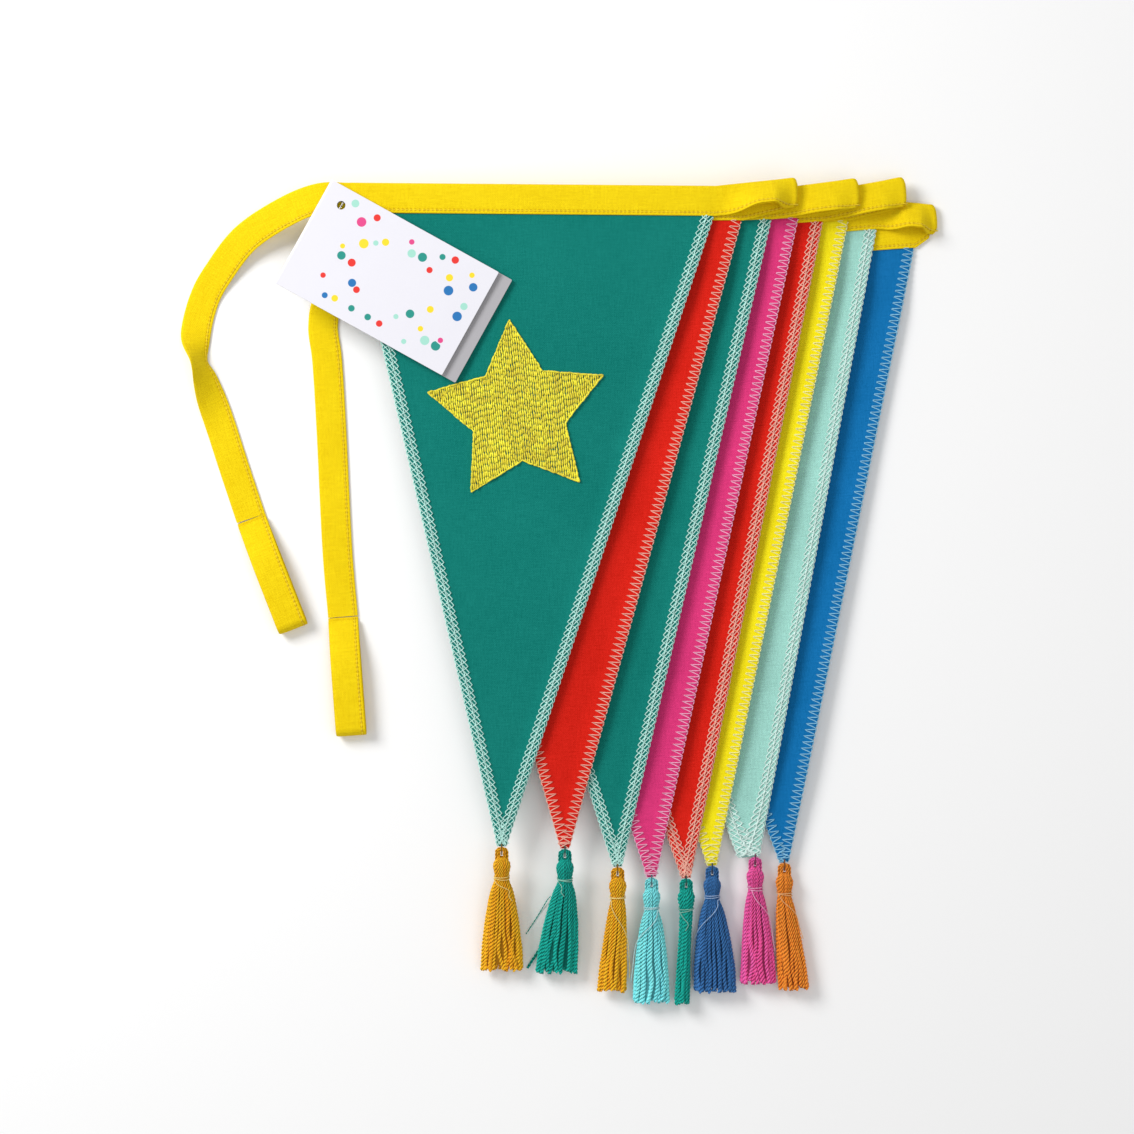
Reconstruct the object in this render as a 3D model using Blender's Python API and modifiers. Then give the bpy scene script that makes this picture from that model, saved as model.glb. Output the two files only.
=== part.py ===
"""Fabric tassel garland, folded up and lying flat.

Eight triangular cotton pennants hang from one length of yellow double-fold tape. The tape
is folded to and fro like an accordion, so the pennants lie on each other in a fan. Each
pennant's overlocked edges meet at a tip that holds a thread loop, and a yarn tassel swings
on that loop. The tape's two ends are ties, each turned back and stitched as a hanging loop.
A folded card tag turns on a pin near the upper left corner.

X is to the right, Y is up along the pennants and Z is up out of the ground that it lies on.
Leg 1 is the pennant on top of the pile and leg 8 is the one on the ground.
"""

import math

import bmesh
import bpy
from mathutils import Matrix, Vector

# The tape
TAPE_WIDTH = 0.0120
TAPE_PLY = 0.0004
TAPE_SLOT = 0.0010
TAPE_HEM = 0.0103
FREE_TAPE_THICKNESS = 0.0009
TAPE_OVERHANG = 0.0010

# The pennants
PENNANT_WIDTH = 0.1436
PENNANT_HEIGHT = 0.2532
CLOTH_THICKNESS = 0.0004
RIM_WIDTH = 0.0050
RIM_THICKNESS = 0.0009
TIP_HALF_WIDTH = 0.0016
TUCK = 0.0100

# The pile: how far one leg's middle plane lies above the next one's
TAPE_PITCH = 0.0021
TIP_PITCH = 0.0012
EYE_HEIGHT = 0.0040
GAP = 0.0003

# The thread loop at a tip and the yarn eye that hangs in it
LOOP_RADIUS = 0.0022
LOOP_THREAD = 0.0007
LOOP_HOLE_RADIUS = 0.0008
DRILL_LENGTH = 0.0036
EYE_THREAD = 0.0016
EYE_HALF_WIDTH = 0.0020

# The tassels
TASSEL_LENGTH = 0.0490
HEAD_RADIUS = 0.0038
NECK_RADIUS = 0.0028
SKIRT_HALF_WIDTH = 0.0090
SKIRT_HALF_DEPTH = 0.0039
BINDING_THREAD = 0.0007
BINDING_PITCH = 0.00115
BINDING_TURNS = 2.5

# The ties and their hanging loops
TIE_1_LENGTH = 0.2168
TIE_2_LENGTH = 0.2768
HANGING_LOOP_LENGTH = 0.0476
HANGING_LOOP_OPENING = 0.0050
TIE_REST = 0.0001

# The card tag and its pin
CARD_LENGTH = 0.0810
CARD_SHORTER = 0.0060
CARD_WIDTH = 0.0467
CARD_THICKNESS = 0.0004
CARD_CORNER = 0.0015
CARD_HOLE_RADIUS = 0.0017
CARD_HOLE_FROM_FOLD = 0.0074
CARD_HOLE_FROM_EDGE = 0.0071
PIN_RADIUS = 0.00035
PIN_BAR_RADIUS = 0.00036
PIN_HOLE_RADIUS = 0.0007
PIN_BAR_LENGTH = 0.0080
PIN_HEAD_LENGTH = 0.0050
PIN_FROM_CORNER = 0.0040
PIN_FROM_TAPE_EDGE = 0.0026

# The embroidered star
STAR_RADIUS = 0.0370
STAR_POINTS = 5
STAR_THICKNESS = 0.0008

# Turns and angles, in degrees
CARD_TURN = -29.0
STAR_TURN = 6.0

# Places of the legs, from leg 1: how far each pennant's top centre lies to the right of
# leg 1's, as shares of a pennant's width, and above it, as shares of its height
FAN_SHARES = [
    (0.000, 0.000),
    (0.078, -0.0095),
    (0.162, -0.0182),
    (0.238, -0.0190),
    (0.308, -0.0276),
    (0.380, -0.0245),
    (0.461, -0.0427),
    (0.567, -0.0671),
]
# Each pennant's turn in degrees, its own height and how far its tip swings aside
LEG_TURNS = [-0.5, 0.2, 2.5, 3.3, 4.1, 3.9, 5.0, 4.1]
HEIGHT_SHARES = [0.998, 0.992, 1.013, 1.030, 1.024, 1.008, 0.978, 0.962]
TIP_SWING_SHARES = [-0.070, 0.006, -0.003, -0.011, -0.009, 0.000, 0.010, 0.015]

# The rows down a pennant, and the most that each of its columns is set in near the tip, as
# a share of the half width there
PENNANT_ROW_SHARES = [0.2, 0.4, 0.6, 0.8, 0.92, 1.0]
INSET_LIMIT_SHARES = {"edge": 0.0, "rim": 0.6, "cloth": 0.8, "middle": 1.0}

# Where the tape turns back between leg k and leg k + 1, from leg 1's top centre: shares of
# a pennant's width to the right and of its height up
FOLD_SHARES = [
    (0.731, 0.034),
    (-0.575, 0.007),
    (0.904, 0.035),
    (-0.422, -0.023),
    (1.038, 0.039),
    (-0.274, -0.037),
    (1.127, -0.002),
]

# The rows of a free tape on its way from a leg to the crease
SPACING_SHARES = [0.0, 0.35, 0.7]

# Each tassel's skirt: its half width and how far its hem lies aside, as shares of the full
# skirt's half width
SKIRT_WIDTH_SHARES = [1.00, 1.00, 0.71, 0.91, 0.42, 1.02, 0.84, 0.75]
SKIRT_ASIDE_SHARES = [0.00, -0.38, -0.22, 0.00, -0.20, 0.13, 0.13, 0.44]

# A tassel's outline down from its eye. Each row: the share of its length, the share of the
# head's radius, of the neck's, of the skirt's half width, of the skirt's half depth.
TASSEL_SHARES = [
    (0.070, 0.40, 0.00, 0.00, 0.00),
    (0.085, 0.74, 0.00, 0.00, 0.00),
    (0.125, 1.00, 0.00, 0.00, 0.00),
    (0.172, 0.96, 0.00, 0.00, 0.00),
    (0.196, 0.00, 1.00, 0.00, 0.00),
    (0.268, 0.00, 1.00, 0.00, 0.00),
    (0.300, 0.00, 0.70, 0.22, 0.38),
    (0.400, 0.00, 0.30, 0.50, 0.68),
    (0.600, 0.00, 0.00, 0.80, 0.97),
    (0.820, 0.00, 0.00, 0.95, 1.00),
    (1.000, 0.00, 0.00, 1.00, 0.97),
]
FLUTES = 12
FLUTE_SHARE = 0.07
SKIRT_START_SHARE = 0.27
TASSEL_SIDES = 24

# The ties' routes from the tape's end: shares of the tie's length to the right and up, the
# share of the height at which it starts, and the tape's roll on its own length in degrees
TIE_1_SHARES = [
    (0.000, 0.000, 1.00, 0.0),
    (-0.055, -0.001, 0.97, 0.0),
    (-0.120, -0.024, 0.66, 0.0),
    (-0.195, -0.070, 0.30, 0.0),
    (-0.247, -0.134, 0.08, 0.0),
    (-0.273, -0.181, 0.00, 0.0),
    (-0.288, -0.242, 0.00, 12.0),
    (-0.288, -0.296, 0.00, 62.0),
    (-0.272, -0.335, 0.00, 40.0),
    (-0.248, -0.3985, 0.00, 6.0),
    (-0.218, -0.491, 0.00, 0.0),
    (-0.186, -0.587, 0.00, 0.0),
]
TIE_2_SHARES = [
    (0.000, 0.000, 1.00, 0.0),
    (-0.080, -0.006, 0.50, 0.0),
    (-0.166, -0.018, 0.20, 0.0),
    (-0.238, -0.029, 0.00, 0.0),
    (-0.292, -0.038, 0.00, 0.0),
    (-0.325, -0.059, 0.00, 0.0),
    (-0.334, -0.098, 0.00, 0.0),
    (-0.328, -0.149, 0.00, 0.0),
    (-0.322, -0.246, 0.00, 0.0),
    (-0.3135, -0.419, 0.00, 0.0),
    (-0.305, -0.520, 0.00, 0.0),
]
# The way the hanging loops point, from the stitches to the turned end: right and up
LOOP_1_WAY = Vector((0.364, -0.931, 0.0))
LOOP_2_WAY = Vector((0.075, -0.997, 0.0))
# A hanging loop's upper ply: the share of the loop's length and of the opening at each row
LOOP_RISE_SHARES = [(0.42, 1.00), (0.62, 0.90), (0.78, 0.55), (0.90, 0.20), (0.97, 0.00)]

STAR_DROP_SHARE = 0.311
STAR_ASIDE_SHARE = -0.035
STAR_WAIST_SHARE = 0.52

# Colours and roughness
TAPE_COLOUR = (1.0, 0.70, 0.0)
PENNANT_COLOURS = [
    (0.00, 0.25, 0.18),
    (0.72, 0.03, 0.01),
    (0.00, 0.25, 0.18),
    (0.76, 0.04, 0.20),
    (0.72, 0.03, 0.01),
    (1.00, 0.80, 0.02),
    (0.30, 0.68, 0.54),
    (0.00, 0.14, 0.42),
]
TASSEL_COLOURS = [
    (0.80, 0.42, 0.02),
    (0.01, 0.30, 0.19),
    (0.80, 0.42, 0.02),
    (0.14, 0.51, 0.61),
    (0.01, 0.30, 0.19),
    (0.04, 0.12, 0.37),
    (0.70, 0.08, 0.30),
    (0.95, 0.24, 0.02),
]
THREAD_COLOUR = (0.80, 0.74, 0.62)
CARD_COLOUR = (0.86, 0.84, 0.80)
PIN_COLOUR = (0.90, 0.90, 0.90)
CLOTH_ROUGHNESS = 0.9
CARD_ROUGHNESS = 0.6

LEGS = len(FAN_SHARES)
HALF_TAPE = TAPE_PLY + TAPE_SLOT / 2

# How finely round forms are drawn
ARC_STEPS = 6
CORNER_STEPS = 4
ROUTE_STEPS = 3
HOLE_SIDES = 12
CARD_HOLE_SIDES = 24
PIN_SIDES = 10
BINDING_STEPS = 16
LOOP_STEPS = 18
LOOP_SIDES = 6
WELD = 1e-6


def clear_scene():
    """Remove every object that the file opened with."""
    for obj in list(bpy.data.objects):
        bpy.data.objects.remove(obj)


def new_collection(name):
    made = bpy.data.collections.new(name)
    bpy.context.scene.collection.children.link(made)
    return made


def finish_of(name, colour, roughness):
    """A plain Principled material of one colour."""
    material = bpy.data.materials.new(name)
    material.use_nodes = True
    shader = material.node_tree.nodes["Principled BSDF"]
    shader.inputs["Base Color"].default_value = (*colour, 1.0)
    shader.inputs["Roughness"].default_value = roughness
    shader.inputs["Metallic"].default_value = 0.0
    return material


def add_object(name, data, place, parent, collection, finish):
    """Link an object at its place in the world, carried by its body's empty."""
    obj = bpy.data.objects.new(name, data)
    collection.objects.link(obj)
    if finish:
        obj.data.materials.append(finish)
    obj.parent = parent
    obj.matrix_parent_inverse = parent.matrix_world.inverted() if parent else Matrix()
    obj.matrix_basis = place
    return obj


def body_empty(name, place, parent, collection):
    """An empty on a body's joint axis. Every piece of the body hangs from it."""
    empty = add_object(name, None, place, parent, collection, None)
    bpy.context.view_layer.update()
    return empty


def even_shares(count):
    return [i / (count - 1) for i in range(count)]


def sheet_mesh(name, across, along, place, thick_share=None):
    """An open sheet of quads. place(u, v) gives the point at shares u across and v along."""
    form = bmesh.new()
    bmesh.ops.create_grid(
        form, x_segments=len(across) - 1, y_segments=len(along) - 1, size=0.5
    )
    group = form.verts.layers.deform.new() if thick_share else None
    for vert in form.verts:
        u = across[round((vert.co.x + 0.5) * (len(across) - 1))]
        v = along[round((vert.co.y + 0.5) * (len(along) - 1))]
        vert.co = place(u, v)
        if thick_share:
            vert[group][0] = thick_share(u, v)
    mesh = bpy.data.meshes.new(name)
    form.to_mesh(mesh)
    form.free()
    return mesh


def thicken(obj, thickness, by_group=False):
    """Give an open sheet its thickness, evenly to both sides."""
    if by_group:
        obj.vertex_groups.new(name="thickness")
    wall = obj.modifiers.new("thickness", "SOLIDIFY")
    wall.thickness = thickness
    wall.offset = 0.0
    if by_group:
        wall.vertex_group = "thickness"
    return wall


def flat_curve(name, outlines, thickness):
    """A flat outline with holes, filled and extruded evenly about its own plane."""
    curve = bpy.data.curves.new(name, "CURVE")
    curve.dimensions = "2D"
    curve.fill_mode = "BOTH"
    curve.extrude = thickness / 2
    for outline in outlines:
        spline = curve.splines.new("POLY")
        spline.points.add(len(outline) - 1)
        for point, (x, y) in zip(spline.points, outline):
            point.co = (x, y, 0.0, 1.0)
        spline.use_cyclic_u = True
    return curve


def tube_curve(name, points, radius, sides):
    """A round tube with filled ends along a list of points."""
    curve = bpy.data.curves.new(name, "CURVE")
    curve.dimensions = "3D"
    curve.bevel_depth = radius
    curve.bevel_resolution = sides
    curve.use_fill_caps = True
    spline = curve.splines.new("POLY")
    spline.points.add(len(points) - 1)
    for point, at in zip(spline.points, points):
        point.co = (*at, 1.0)
    return curve


def solid_mesh(data, place=None):
    """The closed mesh that a curve makes, in its own frame, with its caps welded."""
    helper = bpy.data.objects.new("helper", data)
    bpy.context.scene.collection.objects.link(helper)
    evaluated = helper.evaluated_get(bpy.context.evaluated_depsgraph_get())
    mesh = bpy.data.meshes.new_from_object(evaluated)
    bpy.data.objects.remove(helper)
    form = bmesh.new()
    form.from_mesh(mesh)
    bmesh.ops.remove_doubles(form, verts=form.verts, dist=WELD)
    bmesh.ops.recalc_face_normals(form, faces=form.faces)
    if place:
        form.transform(place)
    form.to_mesh(mesh)
    form.free()
    return mesh


def arc(centre, radius, start, end, steps):
    """Points of an arc in a plane, angles in degrees."""
    turns = [math.radians(start + (end - start) * i / steps) for i in range(steps + 1)]
    return [(centre[0] + radius * math.cos(t), centre[1] + radius * math.sin(t)) for t in turns]


def smooth_route(points, steps):
    """A Catmull-Rom curve through the points, with steps between each two."""
    padded = [points[0] * 2 - points[1], *points, points[-1] * 2 - points[-2]]
    route = []
    for a, b, c, d in zip(padded, padded[1:], padded[2:], padded[3:]):
        for i in range(steps):
            t = i / steps
            bend = (a * -1 + b * 3 - c * 3 + d) * t**3
            pull = (a * 2 - b * 5 + c * 4 - d) * t**2
            route.append((bend + pull + (c - a) * t + b * 2) / 2)
    return route + [points[-1]]


def leg_slope(leg):
    """How steeply a leg's plane rises with Y. It falls from tape to tip as the pile thins."""
    above = LEGS - 1 - leg
    top = HALF_TAPE + TAPE_PITCH * above
    tip = EYE_HEIGHT + TIP_PITCH * above
    return (top - tip) / PENNANT_HEIGHT


def leg_height(leg, y):
    """The height of a leg's middle plane over the ground at a place along Y."""
    return HALF_TAPE + TAPE_PITCH * (LEGS - 1 - leg) + leg_slope(leg) * y


def leg_frame(leg):
    """A leg's frame: origin at its pennant's top centre, X along the tape, Y up."""
    right, up = FAN_SHARES[leg]
    y = PENNANT_HEIGHT * up
    at = Vector((PENNANT_WIDTH * right, y, leg_height(leg, y)))
    lean = math.atan(leg_slope(leg))
    turn = math.radians(LEG_TURNS[leg])
    return Matrix.Translation(at) @ Matrix.Rotation(lean, 4, "X") @ Matrix.Rotation(turn, 4, "Z")


def tape_end(leg, side):
    """Where a leg's bound tape stops, on its middle line; side is 1 right and -1 left."""
    reach = PENNANT_WIDTH / 2 + TAPE_OVERHANG + GAP
    return leg_frame(leg) @ Vector((side * reach, TAPE_WIDTH / 2, 0.0))


def tape_up(leg):
    """The way across the tape of a leg, in its own plane."""
    return leg_frame(leg).to_3x3() @ Vector((0.0, 1.0, 0.0))


def fold_axis(leg):
    """Where the tape turns back between a leg and the next one down, and the way of the
    crease: (point, direction that opens the fold when turned about by the right hand)."""
    right, up = FOLD_SHARES[leg]
    x = PENNANT_WIDTH * right
    y = PENNANT_HEIGHT * up
    z = (leg_height(leg, y) + leg_height(leg + 1, y)) / 2
    way = (tape_up(leg) + tape_up(leg + 1)).normalized()
    side = 1 if right > 0 else -1
    return Vector((x, y, z)), way * side


def axis_frame(point, way):
    """A frame at a point whose Y axis is the given way."""
    y = way.normalized()
    x = y.cross(Vector((0.0, 0.0, 1.0))).normalized()
    z = x.cross(y)
    return Matrix.Translation(point) @ Matrix((x, y, z)).transposed().to_4x4()


def make_binding_tape(leg, body, parts, finish):
    """The folded tape that holds a pennant's top edge: an upturned U with a round top."""
    half, slot = HALF_TAPE, TAPE_SLOT / 2
    outer = arc((TAPE_WIDTH - half, 0.0), half, -90.0, 90.0, ARC_STEPS)
    inner = arc((TAPE_HEM - slot, 0.0), slot, 90.0, -90.0, ARC_STEPS)
    profile = [(0.0, -half), *outer, (0.0, half), (0.0, slot), *inner, (0.0, -slot)]
    length = PENNANT_WIDTH + 2 * TAPE_OVERHANG
    # The profile is drawn in its own X and Y, so it is stood up: X to the leg's Y, Y to Z
    stand = Matrix(((0, 0, 1, 0), (1, 0, 0, 0), (0, 1, 0, 0), (0, 0, 0, 1)))
    name = f"binding_tape_{leg + 1}"
    mesh = solid_mesh(flat_curve(name, [profile], length), stand)
    return add_object(name, mesh, leg_frame(leg), body, parts, finish)


def pennant_half_width(height, drop):
    """Half of a pennant's width at a drop below the tape's edge."""
    wide = PENNANT_WIDTH / 2
    tip_end = height - (LOOP_RADIUS - LOOP_HOLE_RADIUS - GAP)
    return wide + (TIP_HALF_WIDTH - wide) * max(drop, 0.0) / tip_end


def make_pennant(leg, body, parts, cutters, finish):
    """A cloth triangle with thick overlocked sides and a small hole at its tip."""
    height = PENNANT_HEIGHT * HEIGHT_SHARES[leg]
    swing = PENNANT_WIDTH * TIP_SWING_SHARES[leg]
    end = height - (LOOP_RADIUS - LOOP_HOLE_RADIUS - GAP)
    step = 2 * (RIM_THICKNESS - CLOTH_THICKNESS)
    rim_starts = 2 * GAP
    # Rows down the pennant; the first two are the plain cloth inside the tape
    drops = [-TUCK, rim_starts, rim_starts + step]
    drops += [end * share for share in PENNANT_ROW_SHARES]
    sides = ("edge", "rim", "cloth", "middle")

    def across_at(kind, drop):
        half = pennant_half_width(height, drop)
        inset = {"edge": 0.0, "rim": RIM_WIDTH, "cloth": RIM_WIDTH + step, "middle": half}[kind]
        return half - min(inset, half * INSET_LIMIT_SHARES[kind])

    columns = [(-1, kind) for kind in sides] + [(1, kind) for kind in reversed(sides[:-1])]
    across = even_shares(len(columns))
    along = even_shares(len(drops))

    def place(u, v):
        side, kind = columns[round(u * (len(columns) - 1))]
        drop = drops[round(v * (len(drops) - 1))]
        x = side * across_at(kind, drop) + swing * max(drop, 0.0) / height
        return Vector((x, -drop, 0.0))

    def thick_share(u, v):
        kind = columns[round(u * (len(columns) - 1))][1]
        row = round(v * (len(drops) - 1))
        tip_row = row >= len(drops) - 1
        if row >= 2 and (kind in ("edge", "rim") or tip_row):
            return 1.0
        return CLOTH_THICKNESS / RIM_THICKNESS

    name = f"pennant_{leg + 1}"
    mesh = sheet_mesh(name, across, along, place, thick_share)
    pennant = add_object(name, mesh, leg_frame(leg), body, parts, finish)
    thicken(pennant, RIM_THICKNESS, by_group=True)

    hole_at = Vector((swing, LOOP_RADIUS - height, 0.0))
    drill = cylinder_mesh("tip_hole", LOOP_HOLE_RADIUS, DRILL_LENGTH, HOLE_SIDES)
    cut_hole(pennant, drill, leg_frame(leg) @ Matrix.Translation(hole_at), body, cutters)
    return pennant


def cylinder_mesh(name, radius, depth, segments):
    """A cylinder about Z, centred on its origin."""
    form = bmesh.new()
    bmesh.ops.create_cone(
        form, cap_ends=True, segments=segments, radius1=radius, radius2=radius, depth=depth
    )
    mesh = bpy.data.meshes.new(name)
    form.to_mesh(mesh)
    form.free()
    return mesh


def cut_hole(target, mesh, place, body, cutters):
    """Cut a cutter's shape out of a piece."""
    cutter = add_object(f"{target.name}_{mesh.name}", mesh, place, body, cutters, None)
    cutter.hide_render = True
    cutter.display_type = "WIRE"
    cut = target.modifiers.new(mesh.name, "BOOLEAN")
    cut.operation = "DIFFERENCE"
    cut.object = cutter


def ribbon(name, stations, width, thickness, body, parts, finish):
    """A flat tape along a list of (centre, way across)."""
    last = len(stations) - 1

    def place(u, v):
        centre, across = stations[round(v * last)]
        return centre + across * (width * (u - 0.5))

    mesh = sheet_mesh(name, even_shares(2), even_shares(len(stations)), place)
    tape = add_object(name, mesh, Matrix(), body, parts, finish)
    thicken(tape, thickness)
    return tape


def make_spacing_tape(leg, body, parts, finish):
    """The free tape from one leg to the next one down, turned back on itself."""
    side = 1 if FOLD_SHARES[leg][0] > 0 else -1
    start, finish_at = tape_end(leg, side), tape_end(leg + 1, side)
    crease, way = fold_axis(leg)
    way = way * side
    bend = (leg_height(leg, crease.y) - leg_height(leg + 1, crease.y)) / 2
    turn_from = crease - Vector((side * bend, 0.0, 0.0))
    up = Vector((0.0, 0.0, bend))
    stations = []
    for share in SPACING_SHARES:
        at = start.lerp(turn_from + up, share)
        stations.append((at, tape_up(leg).lerp(way, share)))
    for along, rise in arc((0.0, 0.0), bend, 90.0, -90.0, ARC_STEPS):
        at = turn_from + Vector((side * along, 0.0, rise))
        stations.append((at, way))
    for share in reversed(SPACING_SHARES):
        at = finish_at.lerp(turn_from - up, share)
        stations.append((at, tape_up(leg + 1).lerp(way, share)))
    name = f"spacing_tape_{leg + 1}_{leg + 2}"
    return ribbon(name, stations, TAPE_WIDTH, FREE_TAPE_THICKNESS, body, parts, finish)


def tie_stations(leg, side, shares, length, steps):
    """Centres and ways across of a tie, from the tape's end to its stitches."""
    start = tape_end(leg, side)
    rest = FREE_TAPE_THICKNESS / 2 + TIE_REST
    points, rolls = [], []
    for right, up, high, roll in shares:
        z = rest + (start.z - rest) * high
        points.append(Vector((start.x + length * right, start.y + length * up, z)))
        rolls.append(Vector((roll, 0.0, 0.0)))
    route = smooth_route(points, steps)
    rolled = [math.radians(r.x) for r in smooth_route(rolls, steps)]
    stations = []
    for i, at in enumerate(route):
        ahead = route[min(i + 1, len(route) - 1)] - route[max(i - 1, 0)]
        way = Vector((ahead.x, ahead.y, 0.0)).normalized()
        flat = Vector((way.y, -way.x, 0.0))
        roll = max(rolled[i], 0.0)
        across = flat * math.cos(roll) + Vector((0.0, 0.0, math.sin(roll)))
        lift = Vector((0.0, 0.0, math.sin(roll) * TAPE_WIDTH / 2))
        stations.append((at + lift, across))
    return stations


def make_tie(number, leg, shares, length, body, parts, finish):
    """The free end of the tape, from the outermost pennant to its hanging loop."""
    stations = tie_stations(leg, -1, shares, length, ROUTE_STEPS)
    return ribbon(f"tie_{number}", stations, TAPE_WIDTH, FREE_TAPE_THICKNESS, body, parts, finish)


def loop_frame(leg, shares, length, way):
    """Where a hanging loop starts: just past the tie's stitches, X along the loop."""
    rest = FREE_TAPE_THICKNESS / 2 + TIE_REST
    start = tape_end(leg, -1)
    right, up = shares[-1][:2]
    x = way.normalized()
    at = Vector((start.x + length * right, start.y + length * up, rest)) + x * GAP
    y = Vector((0.0, 0.0, 1.0)).cross(x)
    return Matrix.Translation(at) @ Matrix((x, y, (0, 0, 1))).transposed().to_4x4()


def make_hanging_loop(number, frame, body, parts, finish):
    """The tie's end turned back over itself and stitched down, which leaves a loop."""
    bend = (HANGING_LOOP_OPENING + FREE_TAPE_THICKNESS) / 2
    closed = FREE_TAPE_THICKNESS + GAP
    across = Vector((0.0, 1.0, 0.0))
    turn_at = HANGING_LOOP_LENGTH - bend - FREE_TAPE_THICKNESS / 2
    stations = [(Vector((turn_at * share, 0.0, 0.0)), across) for share in (0.0, 0.5)]
    for along, rise in arc((turn_at, bend), bend, -90.0, 90.0, 2 * ARC_STEPS):
        stations.append((Vector((along, 0.0, rise)), across))
    for back, open_share in LOOP_RISE_SHARES:
        rise = closed + (2 * bend - closed) * open_share
        stations.append((Vector((turn_at * (1.0 - back), 0.0, rise)), across))
    stations = [(frame @ at, frame.to_3x3() @ way) for at, way in stations]
    name = f"hanging_loop_{number}"
    return ribbon(name, stations, TAPE_WIDTH, FREE_TAPE_THICKNESS, body, parts, finish)


def eye_place(leg):
    """The middle of a tassel's eye, at its pennant's tip."""
    height = PENNANT_HEIGHT * HEIGHT_SHARES[leg]
    swing = PENNANT_WIDTH * TIP_SWING_SHARES[leg]
    return leg_frame(leg) @ Vector((swing, -height, 0.0))


def make_tip_loop(leg, body, parts, finish):
    """The thread loop through a pennant's tip, standing across the tassel's eye."""
    bpy.ops.mesh.primitive_torus_add(
        major_segments=LOOP_STEPS,
        minor_segments=LOOP_SIDES,
        major_radius=LOOP_RADIUS,
        minor_radius=LOOP_THREAD / 2,
    )
    ring = bpy.context.object
    mesh = ring.data
    bpy.data.objects.remove(ring)
    mesh.transform(Matrix.Rotation(math.pi / 2, 4, "Y"))
    place = Matrix.Translation(eye_place(leg))
    return add_object(f"tip_loop_{leg + 1}", mesh, place, body, parts, finish)


def tassel_lean(leg):
    """How far a tassel dips, so that its hem lies on the ground."""
    eye = eye_place(leg).z - GAP
    reach = math.hypot(TASSEL_LENGTH, SKIRT_HALF_DEPTH * (1.0 + FLUTE_SHARE))
    rest = math.atan(SKIRT_HALF_DEPTH * (1.0 + FLUTE_SHARE) / TASSEL_LENGTH)
    return math.asin(eye / reach) - rest


def tassel_frame(leg):
    return Matrix.Translation(eye_place(leg)) @ Matrix.Rotation(tassel_lean(leg), 4, "X")


def tassel_mesh(leg, name):
    """The yarn of a tassel: a turned head, neck and skirt, flattened and fluted."""
    rows = len(TASSEL_SHARES)
    profile = bpy.data.meshes.new(name)
    form = bmesh.new()
    verts = [form.verts.new((1.0, -row / rows, 0.0)) for row in range(rows)]
    for a, b in zip(verts, verts[1:]):
        form.edges.new((a, b))
    bmesh.ops.spin(
        form,
        geom=form.verts[:] + form.edges[:],
        cent=(0.0, 0.0, 0.0),
        axis=(0.0, 1.0, 0.0),
        angle=2 * math.pi,
        steps=TASSEL_SIDES,
    )
    bmesh.ops.remove_doubles(form, verts=form.verts, dist=WELD)
    bmesh.ops.holes_fill(form, edges=form.edges, sides=TASSEL_SIDES)
    for vert in form.verts:
        row = round(-vert.co.y * rows)
        turn = math.atan2(vert.co.z, vert.co.x)
        vert.co = tassel_point(leg, row, turn)
    bmesh.ops.recalc_face_normals(form, faces=form.faces)
    form.to_mesh(profile)
    form.free()
    return profile


def tassel_point(leg, row, turn):
    """A point on a tassel's surface, at a row of its outline and a turn about its middle."""
    down, head, neck, wide, deep = TASSEL_SHARES[row]
    core = HEAD_RADIUS * head + NECK_RADIUS * neck
    half_width = core + SKIRT_HALF_WIDTH * SKIRT_WIDTH_SHARES[leg] * wide
    half_depth = core + SKIRT_HALF_DEPTH * deep
    flute = 1.0 + FLUTE_SHARE * max(wide, deep) * math.cos(FLUTES * turn)
    fallen = max(down - SKIRT_START_SHARE, 0.0) / (1.0 - SKIRT_START_SHARE)
    aside = SKIRT_HALF_WIDTH * SKIRT_ASIDE_SHARES[leg] * fallen
    x = half_width * math.cos(turn) * flute / (1.0 + FLUTE_SHARE) + aside
    z = half_depth * math.sin(turn) * flute
    return Vector((x, -TASSEL_LENGTH * down, z))


def eye_mesh(name):
    """The yarn's looped top: a bar along X with its two ends going down into the head."""
    round_by = EYE_THREAD / 2
    deep = TASSEL_LENGTH * TASSEL_SHARES[2][0]
    left = arc((-EYE_HALF_WIDTH + round_by, -round_by), round_by, 180.0, 90.0, 3)
    right = arc((EYE_HALF_WIDTH - round_by, -round_by), round_by, 90.0, 0.0, 3)
    flat = [(-EYE_HALF_WIDTH, -deep), *left, *right, (EYE_HALF_WIDTH, -deep)]
    points = [(x, y, 0.0) for x, y in flat]
    return solid_mesh(tube_curve(name, points, EYE_THREAD / 2, 2))


def make_tassel(leg, body, parts, cutters, finish):
    """A tassel's yarn, with the eye that the thread loop passes through."""
    name = f"tassel_{leg + 1}"
    place = tassel_frame(leg)
    tassel = add_object(name, tassel_mesh(leg, name), place, body, parts, finish)
    eye = add_object(f"{name}_eye", eye_mesh("eye"), place, body, cutters, None)
    eye.hide_render = True
    eye.display_type = "WIRE"
    join = tassel.modifiers.new("eye", "BOOLEAN")
    join.operation = "UNION"
    join.object = eye
    return tassel


def least_gap(points):
    """The least clear distance between a winding and its own next turns."""
    half_turn = BINDING_STEPS // 2
    closest = min(
        math.dist(at, other)
        for i, at in enumerate(points)
        for other in points[i + half_turn:]
    )
    return closest - BINDING_THREAD


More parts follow.
